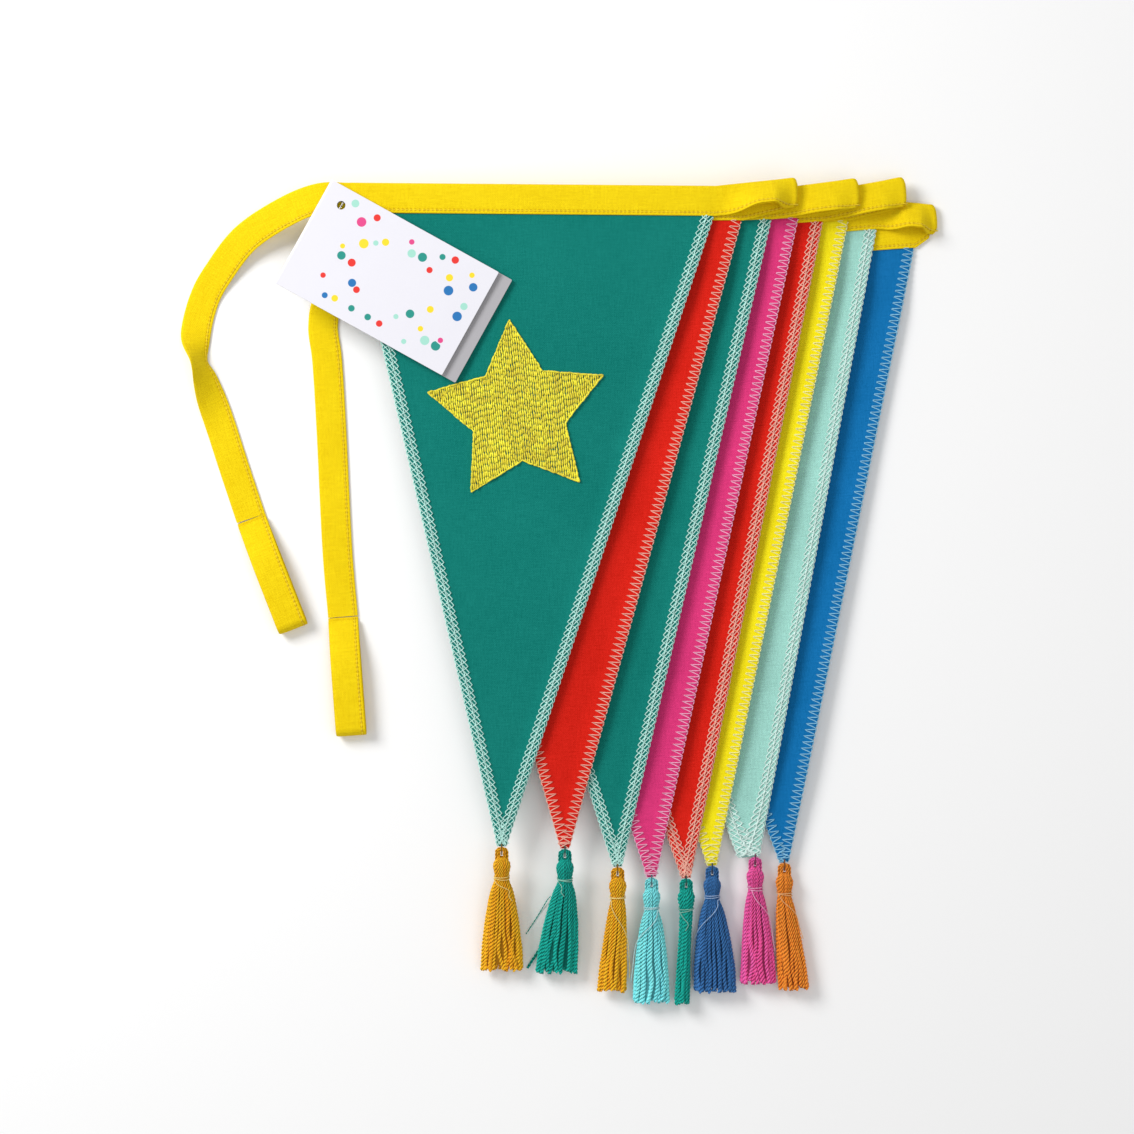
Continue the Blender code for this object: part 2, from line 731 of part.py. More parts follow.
def make_neck_binding(leg, body, parts, finish):
    """The thread wound round a tassel's neck, as one helix."""
    radius = NECK_RADIUS + GAP + BINDING_THREAD / 2
    neck = [row[0] for row in TASSEL_SHARES if row[2] == 1.0]
    middle = TASSEL_LENGTH * (neck[0] + neck[-1]) / 2
    count = round(BINDING_TURNS * BINDING_STEPS) + 1
    points = []
    for i in range(count):
        turns = i / BINDING_STEPS
        angle = 2 * math.pi * turns
        along = middle + BINDING_PITCH * (turns - BINDING_TURNS / 2)
        points.append((radius * math.cos(angle), -along, radius * math.sin(angle)))
    name = f"neck_binding_{leg + 1}"
    print(name, "least gap to itself, mm:", round(least_gap(points) * 1000, 3))
    mesh = solid_mesh(tube_curve(name, points, BINDING_THREAD / 2, 1))
    return add_object(name, mesh, tassel_frame(leg), body, parts, finish)


def star_outline():
    """Five broad points round the star's middle."""
    outline = []
    for i in range(2 * STAR_POINTS):
        turn = math.radians(STAR_TURN + 90.0 + 180.0 / STAR_POINTS * i)
        radius = STAR_RADIUS * (1.0 if i % 2 == 0 else STAR_WAIST_SHARE)
        outline.append((radius * math.cos(turn), radius * math.sin(turn)))
    return outline


def make_star(body, parts, finish):
    """The star sewn on the top pennant in satin stitch."""
    middle = Vector((PENNANT_WIDTH * STAR_ASIDE_SHARE, -PENNANT_HEIGHT * STAR_DROP_SHARE, 0.0))
    lift = CLOTH_THICKNESS / 2 + GAP + STAR_THICKNESS / 2
    place = leg_frame(0) @ Matrix.Translation(middle + Vector((0.0, 0.0, lift)))
    mesh = solid_mesh(flat_curve("embroidered_star", [star_outline()], STAR_THICKNESS))
    return add_object("embroidered_star", mesh, place, body, parts, finish)


def pin_place():
    """Where the tag's pin goes through the tape, on leg 1's middle plane."""
    local = Vector((-PENNANT_WIDTH / 2 - PIN_FROM_CORNER, PIN_FROM_TAPE_EDGE, 0.0))
    return leg_frame(0) @ local


def card_levels():
    """The heights of the back leaf's and the front leaf's middle planes."""
    tape_top = leg_height(0, TAPE_WIDTH) + HALF_TAPE
    back = tape_top + GAP + CARD_THICKNESS / 2
    front = back + CARD_THICKNESS + 2 * GAP + 2 * PIN_BAR_RADIUS
    return back, front


def card_outline(length):
    """A card leaf about the pin's hole: the fold is its left side."""
    left, right = -CARD_HOLE_FROM_FOLD, length - CARD_HOLE_FROM_FOLD
    top, bottom = CARD_HOLE_FROM_EDGE, CARD_HOLE_FROM_EDGE - CARD_WIDTH
    c = CARD_CORNER
    outline = [(left, bottom), *arc((right - c, bottom + c), c, -90.0, 0.0, CORNER_STEPS)]
    outline += [*arc((right - c, top - c), c, 0.0, 90.0, CORNER_STEPS), (left, top)]
    return outline


def make_card_leaf(name, length, level, turn, body, parts, finish):
    """One leaf of the folded card, with its punched hole."""
    last = CARD_HOLE_SIDES - 1
    hole = arc((0.0, 0.0), CARD_HOLE_RADIUS, 0.0, 360.0 * last / CARD_HOLE_SIDES, last)
    mesh = solid_mesh(flat_curve(name, [card_outline(length), hole], CARD_THICKNESS))
    at = pin_place()
    turned = Matrix.Rotation(math.radians(turn), 4, "Z")
    place = Matrix.Translation((at.x, at.y, level)) @ turned
    return add_object(name, mesh, place, body, parts, finish)


def make_tag_pin(body, parts, cutters, finish):
    """The pin: a shank with a bar under the tape and a bar on the back leaf."""
    at = pin_place()
    back = card_levels()[0]
    under = at.z - FREE_TAPE_THICKNESS / 2 - PIN_BAR_RADIUS - GAP
    over = back + CARD_THICKNESS / 2 + GAP + PIN_BAR_RADIUS
    shank = cylinder_mesh("tag_pin", PIN_RADIUS, over - under, PIN_SIDES)
    middle = Matrix.Translation((at.x, at.y, (over + under) / 2))
    pin = add_object("tag_pin", shank, middle, body, parts, finish)
    bars = (
        ("bar", under, PIN_BAR_LENGTH, math.radians(LEG_TURNS[0])),
        ("head", over, PIN_HEAD_LENGTH, math.radians(CARD_TURN)),
    )
    for kind, level, length, turn in bars:
        mesh = cylinder_mesh(kind, PIN_BAR_RADIUS, length, PIN_SIDES)
        lie = Matrix.Rotation(turn, 4, "Z") @ Matrix.Rotation(math.pi / 2, 4, "X")
        place = Matrix.Translation((at.x, at.y, level)) @ lie
        bar = add_object(f"tag_pin_{kind}", mesh, place, body, cutters, None)
        bar.hide_render = True
        bar.display_type = "WIRE"
        join = pin.modifiers.new(kind, "BOOLEAN")
        join.operation = "UNION"
        join.object = bar
    return pin


def centre_on_ground(top, parts):
    """Move the whole garland so that the middle of its box's floor is the origin."""
    graph = bpy.context.evaluated_depsgraph_get()
    low, high = Vector((1e9, 1e9, 1e9)), Vector((-1e9, -1e9, -1e9))
    for obj in parts.objects:
        if obj.type != "MESH":
            continue
        evaluated = obj.evaluated_get(graph)
        for vert in evaluated.data.vertices:
            at = obj.matrix_world @ vert.co
            low = Vector(map(min, low, at))
            high = Vector(map(max, high, at))
    top.location = (-(low.x + high.x) / 2, -(low.y + high.y) / 2, -low.z)
    bpy.context.view_layer.update()


def make_legs(top, parts, cutters, finishes):
    """The legs from the ground up, each hinged on the one below it at their fold."""
    bodies = {}
    below = None
    for leg in reversed(range(LEGS)):
        if leg == LEGS - 1:
            place = leg_frame(leg)
        else:
            place = axis_frame(*fold_axis(leg))
        body = body_empty(f"leg_{leg + 1}", place, below or top, parts)
        make_binding_tape(leg, body, parts, finishes["tape"])
        make_pennant(leg, body, parts, cutters, finishes[f"cloth_{leg}"])
        make_tip_loop(leg, body, parts, finishes["thread"])
        if leg < LEGS - 1:
            make_spacing_tape(leg, below, parts, finishes["tape"])
        bodies[leg] = below = body
    return bodies


def make_tassels(bodies, parts, cutters, finishes):
    """A tassel at each tip, swinging on its eye."""
    for leg, carrier in bodies.items():
        place = Matrix.Translation(eye_place(leg))
        body = body_empty(f"tassel_body_{leg + 1}", place, carrier, parts)
        make_tassel(leg, body, parts, cutters, finishes[f"yarn_{leg}"])
        make_neck_binding(leg, body, parts, finishes["thread"])


def make_ties(bodies, parts, cutters, finishes):
    """The tape's two ends and their hanging loops. The first is pierced by the tag's pin."""
    first, last = 0, LEGS - 1
    tape = finishes["tape"]
    tie = make_tie(1, first, TIE_1_SHARES, TIE_1_LENGTH, bodies[first], parts, tape)
    drill = cylinder_mesh("pin_hole", PIN_HOLE_RADIUS, DRILL_LENGTH, HOLE_SIDES)
    cut_hole(tie, drill, Matrix.Translation(pin_place()), bodies[first], cutters)
    frame = loop_frame(first, TIE_1_SHARES, TIE_1_LENGTH, LOOP_1_WAY)
    make_hanging_loop(1, frame, bodies[first], parts, tape)
    make_tie(2, last, TIE_2_SHARES, TIE_2_LENGTH, bodies[last], parts, tape)
    frame = loop_frame(last, TIE_2_SHARES, TIE_2_LENGTH, LOOP_2_WAY)
    make_hanging_loop(2, frame, bodies[last], parts, tape)


def make_tag(carrier, parts, cutters, finishes):
    """The folded card on its pin: the back leaf turns on the pin, the front leaf opens."""
    at = pin_place()
    back, front = card_levels()
    make_tag_pin(carrier, parts, cutters, finishes["pin"])
    turning = body_empty("tag_back", Matrix.Translation((at.x, at.y, back)), carrier, parts)
    make_card_leaf("tag_back_leaf", CARD_LENGTH, back, CARD_TURN, turning, parts, finishes["card"])
    turned = Matrix.Rotation(math.radians(CARD_TURN), 4, "Z")
    crease = Matrix.Translation((at.x, at.y, (back + front) / 2)) @ turned
    crease = crease @ Matrix.Translation((-CARD_HOLE_FROM_FOLD - GAP, 0.0, 0.0))
    opening = body_empty("tag_front", crease, turning, parts)
    shorter = CARD_LENGTH - CARD_SHORTER
    make_card_leaf("tag_front_leaf", shorter, front, CARD_TURN, opening, parts, finishes["card"])


def make_finishes():
    """One finish for each kind of cloth, yarn, thread, tape and card."""
    finishes = {
        "tape": finish_of("yellow_tape", TAPE_COLOUR, CLOTH_ROUGHNESS),
        "thread": finish_of("pale_thread", THREAD_COLOUR, CLOTH_ROUGHNESS),
        "card": finish_of("white_card", CARD_COLOUR, CARD_ROUGHNESS),
        "pin": finish_of("clear_nylon", PIN_COLOUR, CARD_ROUGHNESS),
    }
    for leg in range(LEGS):
        finishes[f"cloth_{leg}"] = finish_of(
            f"cloth_{leg + 1}", PENNANT_COLOURS[leg], CLOTH_ROUGHNESS
        )
        finishes[f"yarn_{leg}"] = finish_of(
            f"yarn_{leg + 1}", TASSEL_COLOURS[leg], CLOTH_ROUGHNESS
        )
    return finishes


def make_garland():
    clear_scene()
    parts = new_collection("fabric_tassel_garland")
    cutters = new_collection("cutters")
    finishes = make_finishes()
    top = body_empty("garland", Matrix(), None, parts)
    bodies = make_legs(top, parts, cutters, finishes)
    make_tassels(bodies, parts, cutters, finishes)
    make_ties(bodies, parts, cutters, finishes)
    make_star(bodies[0], parts, finishes["tape"])
    make_tag(bodies[0], parts, cutters, finishes)
    bpy.context.view_layer.update()
    centre_on_ground(top, parts)


make_garland()
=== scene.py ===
"""Looks of a fabric tassel garland, folded up and lying flat on a pale table.

Eight cotton pennants with yarn tassels, sewn into one length of yellow tape that is folded
to and fro. Lengths are metres: X to the right, Y up the pennants, Z up from the table.
"""
import math

import bmesh
import bpy
import numpy as np
from mathutils import Matrix, Vector


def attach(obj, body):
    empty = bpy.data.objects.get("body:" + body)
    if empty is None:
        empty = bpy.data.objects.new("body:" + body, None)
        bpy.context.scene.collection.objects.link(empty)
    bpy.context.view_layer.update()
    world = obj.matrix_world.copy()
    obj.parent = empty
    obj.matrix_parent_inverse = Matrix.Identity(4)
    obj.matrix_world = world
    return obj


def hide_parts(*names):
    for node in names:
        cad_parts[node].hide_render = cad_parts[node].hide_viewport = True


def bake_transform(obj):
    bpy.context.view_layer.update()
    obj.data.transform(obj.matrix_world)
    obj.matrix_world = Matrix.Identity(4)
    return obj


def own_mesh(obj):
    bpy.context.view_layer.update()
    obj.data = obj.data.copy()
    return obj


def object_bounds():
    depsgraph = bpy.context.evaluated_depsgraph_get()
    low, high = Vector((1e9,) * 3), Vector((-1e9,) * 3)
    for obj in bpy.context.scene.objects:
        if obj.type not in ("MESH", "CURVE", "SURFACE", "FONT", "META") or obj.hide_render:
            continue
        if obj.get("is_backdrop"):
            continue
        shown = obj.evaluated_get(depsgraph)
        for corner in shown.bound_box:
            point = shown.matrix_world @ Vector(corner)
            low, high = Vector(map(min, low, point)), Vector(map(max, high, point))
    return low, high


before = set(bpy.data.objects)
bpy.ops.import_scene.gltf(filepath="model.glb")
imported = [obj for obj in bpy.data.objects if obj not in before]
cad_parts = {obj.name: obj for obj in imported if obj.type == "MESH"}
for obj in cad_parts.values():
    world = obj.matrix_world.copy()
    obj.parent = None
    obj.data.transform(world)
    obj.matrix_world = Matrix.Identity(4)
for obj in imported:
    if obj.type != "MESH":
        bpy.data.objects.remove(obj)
cad_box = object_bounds()


# The table, the light and the camera
# A smooth white table under a broad window light from the upper left, with white walls
# round it that fill the shadows. The garland is seen from straight above.
VIEW_CENTRE = (0.0031, 0.0093)
VIEW_WIDTH = 0.4536
PILE_MIDDLE = 0.008
LENS, SENSOR = 100.0, 36.0
FLOOR_SIZE = 12.0
TABLE_WHITES = (0.96, 0.96, 0.96, 1.0), (0.98, 0.98, 0.98, 1.0)
ROOM_LIGHT = 0.42
# Of each lamp: its place, its width and its power in watts
LAMPS = {
    "window": ((-0.75, 0.55, 0.75), 0.55, 10.5),
    "overhead": ((0.3, -0.2, 1.6), 1.5, 6.0),
}


def node(tree, kind, inputs=None, **settings):
    """Add a node; an input is a number, a colour or another node's output."""
    made = tree.nodes.new(kind)
    for key, value in settings.items():
        setattr(made, key, value)
    for key, value in (inputs or {}).items():
        if isinstance(value, bpy.types.NodeSocket):
            tree.links.new(value, made.inputs[key])
        else:
            made.inputs[key].default_value = value
    return made


def new_object(name, data):
    made = bpy.data.objects.new(name, data)
    bpy.context.scene.collection.objects.link(made)
    return made


def blank_material(name, **constants):
    """A Principled material whose even values sit on the shader's own sockets."""
    made = bpy.data.materials.new(name)
    made.use_nodes = True
    shader = made.node_tree.nodes["Principled BSDF"]
    for key, value in constants.items():
        shader.inputs[key.replace("_", " ")].default_value = value
    return made, made.node_tree, shader


def mixed(tree, share, first, second, blend="MIX"):
    """Two colours mixed by a share."""
    values = {"Factor": share, "A": first, "B": second}
    made = node(tree, "ShaderNodeMix", values, data_type="RGBA", blend_type=blend)
    return made.outputs["Result"]


def make_studio():
    floor_mesh = bpy.data.meshes.new("table_top")
    half = FLOOR_SIZE / 2
    corners = [(-half, -half, 0), (half, -half, 0), (half, half, 0), (-half, half, 0)]
    floor_mesh.from_pydata(corners, [], [(0, 1, 2, 3)])
    floor = new_object("table_top", floor_mesh)
    paint, tree, shader = blank_material("table_white", Roughness=0.75)
    mottle = node(tree, "ShaderNodeTexNoise", {"Scale": 3.0, "Detail": 2.0})
    tint = mixed(tree, mottle.outputs["Fac"], *TABLE_WHITES)
    tree.links.new(tint, shader.inputs["Base Color"])
    floor_mesh.materials.append(paint)
    floor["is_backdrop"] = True

    world = bpy.data.worlds.new("white_room")
    bpy.context.scene.world = world
    world.use_nodes = True
    sky = world.node_tree.nodes["Background"]
    sky.inputs["Color"].default_value = (1.0, 1.0, 1.0, 1.0)
    sky.inputs["Strength"].default_value = ROOM_LIGHT

    for name, (place, width, power) in LAMPS.items():
        lamp = bpy.data.lights.new(name, "AREA")
        lamp.shape = "DISK"
        lamp.size = width
        lamp.energy = power
        carrier = new_object(name, lamp)
        carrier.location = place
        aim = Vector((*VIEW_CENTRE, 0.0)) - Vector(place)
        carrier.rotation_euler = aim.to_track_quat("-Z", "Y").to_euler()

    bpy.context.scene.view_settings.view_transform = "Standard"
    camera = bpy.data.cameras.new("camera")
    camera.lens = LENS
    camera.sensor_width = SENSOR
    carrier = new_object("camera", camera)
    carrier.location = (*VIEW_CENTRE, PILE_MIDDLE + VIEW_WIDTH * LENS / SENSOR)
    bpy.context.scene.camera = carrier


make_studio()


# The pennants
# Each is a triangle of plain-woven cotton, cut on the straight grain. Its two long sides
# are overlocked, which makes them thicker and a little curled, and its top edge is sewn
# into the tape. Odd pennants show their front and even ones their back.
PENNANT_WIDTH = 0.1436
TUCK = 0.0100
TIP_HALF_WIDTH = 0.0016
TIP_INSET = 0.0011
# How thick the cloth is, and how thick and wide its overlocked rims are
CLOTH = 0.0004
RIM = 0.0008
RIM_WIDTH = 0.0050
# How finely the cloth is drawn: rows down it, columns from its middle to its rim, and the
# shares of the half width where the rim's own columns lie
CLOTH_ROWS, CLOTH_COLUMNS = 90, 22
RIM_SHARES = (0.92, 0.94, 0.96, 0.975, 0.988, 0.996, 1.0)
# The share of its thickness that the cloth keeps at its cut edge
CUT_EDGE = 0.35
# How far the right side curls up, over what width, and from what drop below the tape
CURL = 0.0017
CURL_WIDTH = 0.0095
CURL_FROM = 0.03
# The cloth's gentle waves: their height, then each one's share, its radians a metre across
# and up, and its phase. They die out towards the tape and the tips.
WAVE = 0.00045
WAVES = ((0.6, 74, 26, 0.6), (0.4, -16, 52, 1.9))
CALM_AT_TAPE, CALM_AT_TIP = (0.130, 0.100), (-0.105, -0.060)
# The mint pennant's left side is stretched out near its tip
STRETCHED_TIPS = {7: 0.0050}
STRETCH_FROM, STRETCH_TO = 0.055, 0.008
# The weave's thread, and how its slubs stretch along the warp and along the weft
WEAVE = 0.00045
SLUBS = (1800.0, 160.0, 1.0), (160.0, 1800.0, 1.0)

# Of each leg of the folded garland, from the top of the pile to the table: where the middle
# of its tape's lower edge lies, its turn and dip in degrees, its pennant's height, and how
# far the tip swings aside
LEGS = {
    1: ((-0.010670, 0.149481, 0.015591), -0.5, 0.72408, 0.252694, -0.010052),
    2: ((0.000531, 0.147075, 0.013469), 0.2, 0.52044, 0.251174, 0.000862),
    3: ((0.012593, 0.144872, 0.011366), 2.5, 0.31680, 0.256492, -0.000431),
    4: ((0.023507, 0.144670, 0.009282), 3.3, 0.11314, 0.260796, -0.001580),
    5: ((0.033559, 0.142492, 0.007202), 4.1, -0.09051, 0.259277, -0.001292),
    6: ((0.043898, 0.143277, 0.005123), 3.9, -0.29417, 0.255226, 0.0),
    7: ((0.055530, 0.138669, 0.003085), 5.0, -0.49782, 0.247630, 0.001436),
    8: ((0.070751, 0.132491, 0.001099), 4.1, -0.70145, 0.243578, 0.002154),
}
TEAL, RED = (0.0, 0.200, 0.165), (0.68, 0.010, 0.002)
CLOTH_COLOURS = {
    1: TEAL,
    2: RED,
    3: TEAL,
    4: (0.72, 0.035, 0.19),
    5: RED,
    6: (1.0, 0.78, 0.004),
    7: (0.35, 0.68, 0.60),
    8: (0.0, 0.16, 0.43),
}


def smooth(low, high, value):
    """A step from 0 at low to 1 at high, with soft ends."""
    t = np.clip((value - low) / (high - low), 0.0, 1.0)
    return t * t * (3 - 2 * t)


def leg_matrix(leg):
    """A leg's frame: origin on its tape's lower edge, X along the tape and Y across it."""
    at, turn, dip = LEGS[leg][:3]
    lean = Matrix.Rotation(math.radians(dip), 4, "X")
    return Matrix.Translation(at) @ lean @ Matrix.Rotation(math.radians(turn), 4, "Z")


def half_width(leg, drop):
    """Half of a pennant's width at a drop below the tape."""
    wide = PENNANT_WIDTH / 2
    reach = LEGS[leg][3] - TIP_INSET
    return wide + (TIP_HALF_WIDTH - wide) * np.maximum(drop, 0.0) / reach


def map_cut(mesh, flat):
    """Keep where each point lies on the flat cloth, in metres, as the mesh's UV map."""
    layer = mesh.uv_layers.new(name="cut")
    corners = np.zeros(len(mesh.loops), int)
    mesh.loops.foreach_get("vertex_index", corners)
    layer.data.foreach_set("uv", flat[corners].astype(np.float32).ravel())


def slab(name, top, bottom, uv):
    """A closed sheet from two grids of points and their places on the flat cloth."""
    rows, columns = top.shape[:2]
    count = rows * columns
    index = np.arange(count).reshape(rows, columns)
    a, b = index[:-1, :-1].ravel(), index[:-1, 1:].ravel()
    c, d = index[1:, 1:].ravel(), index[1:, :-1].ravel()
    faces = [np.stack([a, b, c, d], 1), np.stack([d, c, b, a], 1) + count]
    ring = np.concatenate([index[0, :], index[1:, -1], index[-1, -2::-1], index[-2:0:-1, 0]])
    after = np.roll(ring, -1)
    faces.append(np.stack([after, ring, ring + count, after + count], 1))
    mesh = bpy.data.meshes.new(name)
    points = np.concatenate([top.reshape(-1, 3), bottom.reshape(-1, 3)])
    mesh.from_pydata(points.tolist(), [], np.concatenate(faces).tolist())
    map_cut(mesh, np.concatenate([uv.reshape(-1, 2)] * 2))
    mesh.polygons.foreach_set("use_smooth", [True] * len(mesh.polygons))
    return mesh


def points_of(mesh):
    points = np.zeros(3 * len(mesh.vertices))
    mesh.vertices.foreach_get("co", points)
    return points.reshape(-1, 3)


def put_points(mesh, points):
    mesh.vertices.foreach_set("co", points.ravel())
    mesh.update()


def carried(points, place):
    """Points moved by a matrix."""
    place = np.array(place)
    return points @ place[:3, :3].T + place[:3, 3]


def settle(mesh, leg, curled=True):
    """Move a leg's flat mesh to its place, with the cloth's curl and gentle waves."""
    points = points_of(mesh)
    height, swing = LEGS[leg][3:5]
    drop = -points[:, 1]
    if curled:
        middle = swing * np.maximum(drop, 0.0) / height
        from_right = half_width(leg, drop) - (points[:, 0] - middle)
        lift = smooth(CURL_WIDTH, 0.0, from_right) * smooth(0.0, CURL_FROM, drop)
        points[:, 2] += CURL * lift * smooth(height, height * 0.8, drop)
    stretched = smooth(height - STRETCH_FROM, height - STRETCH_TO, drop)
    share = (swing * drop / height - points[:, 0]) / half_width(leg, drop)
    points[:, 0] -= STRETCHED_TIPS.get(leg, 0.0) * stretched * smooth(-1.0, 1.0, share)
    points = carried(points, leg_matrix(leg))
    x, y = points[:, 0], points[:, 1]
    swell = sum(share * np.sin(by_x * x + by_y * y + turn) for share, by_x, by_y, turn in WAVES)
    calm = smooth(*CALM_AT_TAPE, y) * smooth(*CALM_AT_TIP, y)
    points[:, 2] += WAVE * swell * calm
    put_points(mesh, points)


def maths(tree, operation, *values):
    """The result of a Math node."""
    kind = "ShaderNodeMath"
    return node(tree, kind, dict(enumerate(values)), operation=operation).outputs[0]


def vectors(tree, operation, first, second=None, scale=None):
    """The result of a Vector Math node."""
    values = {0: first, 1: second, "Scale": scale}
    values = {key: value for key, value in values.items() if value is not None}
    made = node(tree, "ShaderNodeVectorMath", values, operation=operation)
    return made.outputs["Value" if operation == "DISTANCE" else "Vector"]


def noise(tree, at, scale, detail):
    """Even grey noise with its coarsest marks one over scale across."""
    values = {"Vector": at, "Scale": scale, "Detail": detail}
    return node(tree, "ShaderNodeTexNoise", values).outputs["Fac"]


def dyed(tree, shade, colour, between, dark, light, lift=0.0):
    """A colour from a dark tone to a light one, as a shade goes between two values."""
    ramp = node(tree, "ShaderNodeValToRGB", {"Fac": shade})
    low, high = ramp.color_ramp.elements
    low.position, high.position = between
    low.color = (*[dark * part for part in colour], 1.0)
    high.color = (*[min(1.0, light * part + lift) for part in colour], 1.0)
    return ramp.outputs["Color"]


def surface(tree, shader, paint, height, depth, strength=1.0):
    """Give a material its colour, and its relief from a height."""
    values = {"Height": height, "Distance": depth, "Strength": strength}
    bump = node(tree, "ShaderNodeBump", values)
    tree.links.new(paint, shader.inputs["Base Color"])
    tree.links.new(bump.outputs["Normal"], shader.inputs["Normal"])


def cloth_material(name, colour, fuzz=0.12, stitch_shade=False):
    """Plain weave: two crossed sets of threads, slubs along them and a soft fuzz."""
    made, tree, shader = blank_material(
        name, Roughness=0.9, Specular_IOR_Level=0.08, Sheen_Weight=fuzz, Sheen_Roughness=0.5,
        Sheen_Tint=(*[0.2 + 0.8 * part for part in colour], 1.0))
    cut = node(tree, "ShaderNodeUVMap", uv_map="cut").outputs[0]
    apart = node(tree, "ShaderNodeSeparateXYZ", {0: cut}).outputs
    weave = maths(tree, "MULTIPLY", *[
        maths(tree, "SINE", maths(tree, "MULTIPLY", apart[axis], math.pi / WEAVE))
        for axis in (0, 1)])
    slub = maths(tree, "ADD", *[
        noise(tree, vectors(tree, "MULTIPLY", cut, stretch), 1.0, 3.0) for stretch in SLUBS])
    shade = maths(tree, "MULTIPLY_ADD", slub, 0.30, maths(tree, "MULTIPLY", weave, 0.06))
    for scale, detail, share in ((28.0, 4.0, 0.22), (1900.0, 2.0, 0.55)):
        shade = maths(tree, "MULTIPLY_ADD", noise(tree, cut, scale, detail), share, shade)
    paint = dyed(tree, shade, colour, (0.46, 0.92), 0.72, 1.16, 0.01)
    # On the tape, painted shade in the dips at the running stitches
    if stitch_shade:
        paint = needle_hole_shade(tree, paint, apart)
    raised = maths(tree, "MULTIPLY_ADD", slub, 0.7, maths(tree, "MULTIPLY", weave, 0.35))
    surface(tree, shader, paint, raised, 0.00012, 0.8)
    return made


def pennant_mesh(leg):
    """A pennant flat in its leg's frame, thicker at its rims, tucked into the tape."""
    height, swing = LEGS[leg][3:5]
    reach = height - TIP_INSET
    drops = np.concatenate([[-TUCK, -TUCK / 2, 0.0], np.linspace(0.001, reach, CLOTH_ROWS)])
    inner = 0.9 * np.linspace(0.0, 1.0, CLOTH_COLUMNS)[:-1]
    right = np.concatenate([inner, RIM_SHARES])
    shares = np.concatenate([-right[:0:-1], right])
    half = half_width(leg, drops)[:, None]
    x = half * shares[None, :]
    y = np.broadcast_to(-drops[:, None], x.shape)
    edge = half - np.abs(x)
    end = (reach - drops)[:, None]
    rim = smooth(RIM_WIDTH * 1.15, RIM_WIDTH * 0.85, np.minimum(edge, end))
    below = smooth(0.0, 0.004, drops)[:, None]
    thick = CLOTH + (RIM - CLOTH) * rim * below
    whole = smooth(-0.0001, 0.0004, np.minimum(edge, end + 0.0002))
    thick = thick * (CUT_EDGE + (1.0 - CUT_EDGE) * whole)
    x = x + swing * np.maximum(drops, 0.0)[:, None] / height
    top = np.stack([x, y, thick / 2], -1)
    bottom = np.stack([x, y, -thick / 2], -1)
    return slab(f"pennant_cloth_{leg}", top, bottom, top[:, :, :2])


def make_pennant(leg):
    mesh = pennant_mesh(leg)
    settle(mesh, leg)
    mesh.materials.append(cloth_material(f"cotton_{leg}", CLOTH_COLOURS[leg]))
    piece = new_object(f"pennant_cloth_{leg}", mesh)
    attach(piece, f"leg_{leg}")
    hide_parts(f"pennant_{leg}")


for each in LEGS:
    make_pennant(each)


# The overlock stitches
# Sewing thread in a paler shade along both sides of each pennant. On the front its loops
# cross in a lattice with a needle line down its middle, and on the back they make one row
# of zigzags. A chain runs along the cut edge.
STITCH = 0.0025
STITCH_WIDTH = 0.0047
THREAD = 0.00022
STEPS_A_STITCH = 8
THREAD_SIDES = 5
SEAM_START = -0.0005
PALE_MINT, SALMON = (0.52, 0.86, 0.78), (1.0, 0.46, 0.36)
THREAD_COLOURS = {
    1: PALE_MINT,
    2: SALMON,
    3: PALE_MINT,
    4: (1.0, 0.44, 0.64),
    5: SALMON,
    6: (1.0, 0.90, 0.36),
    7: (0.70, 0.92, 0.85),
    8: (0.25, 0.58, 0.80),
}


def group_tree(name, sockets):
    """A Geometry Nodes group with named inputs and one geometry output."""
    tree = bpy.data.node_groups.new(name, "GeometryNodeTree")
    for label, kind in sockets:
        tree.interface.new_socket(label, in_out="INPUT", socket_type=f"NodeSocket{kind}")
    tree.interface.new_socket("Geometry", in_out="OUTPUT", socket_type="NodeSocketGeometry")
    return tree, tree.nodes.new("NodeGroupInput").outputs


def plain_mesh(helper):
    """A helper object's finished mesh; the helper itself goes."""
    graph = bpy.context.evaluated_depsgraph_get()
    mesh = bpy.data.meshes.new_from_object(helper.evaluated_get(graph))
    bpy.data.objects.remove(helper)
    return mesh


def grown(name, tree, values, base=None):
    """The mesh that a group makes with these inputs, as plain geometry."""
    helper = new_object(name, base or bpy.data.meshes.new(name))
    modifier = helper.modifiers.new(name, "NODES")
    modifier.node_group = tree
    for item in tree.interface.items_tree:
        if item.in_out == "INPUT" and item.name in values:
            modifier[item.identifier] = values[item.name]
    return plain_mesh(helper)


def finish_group(tree, parts, material):
    """Join the branches, make them real and smooth, and give them their material."""
    join = tree.nodes.new("GeometryNodeJoinGeometry")
    for part in parts:
        tree.links.new(part, join.inputs[0])
    real = node(tree, "GeometryNodeRealizeInstances", {0: join.outputs[0]})
    soft = node(tree, "GeometryNodeSetShadeSmooth", {"Geometry": real.outputs[0]})
    covered = {"Geometry": soft.outputs[0], "Material": material}
    done = node(tree, "GeometryNodeSetMaterial", covered)
    out = tree.nodes.new("NodeGroupOutput")
    tree.links.new(done.outputs[0], out.inputs[0])


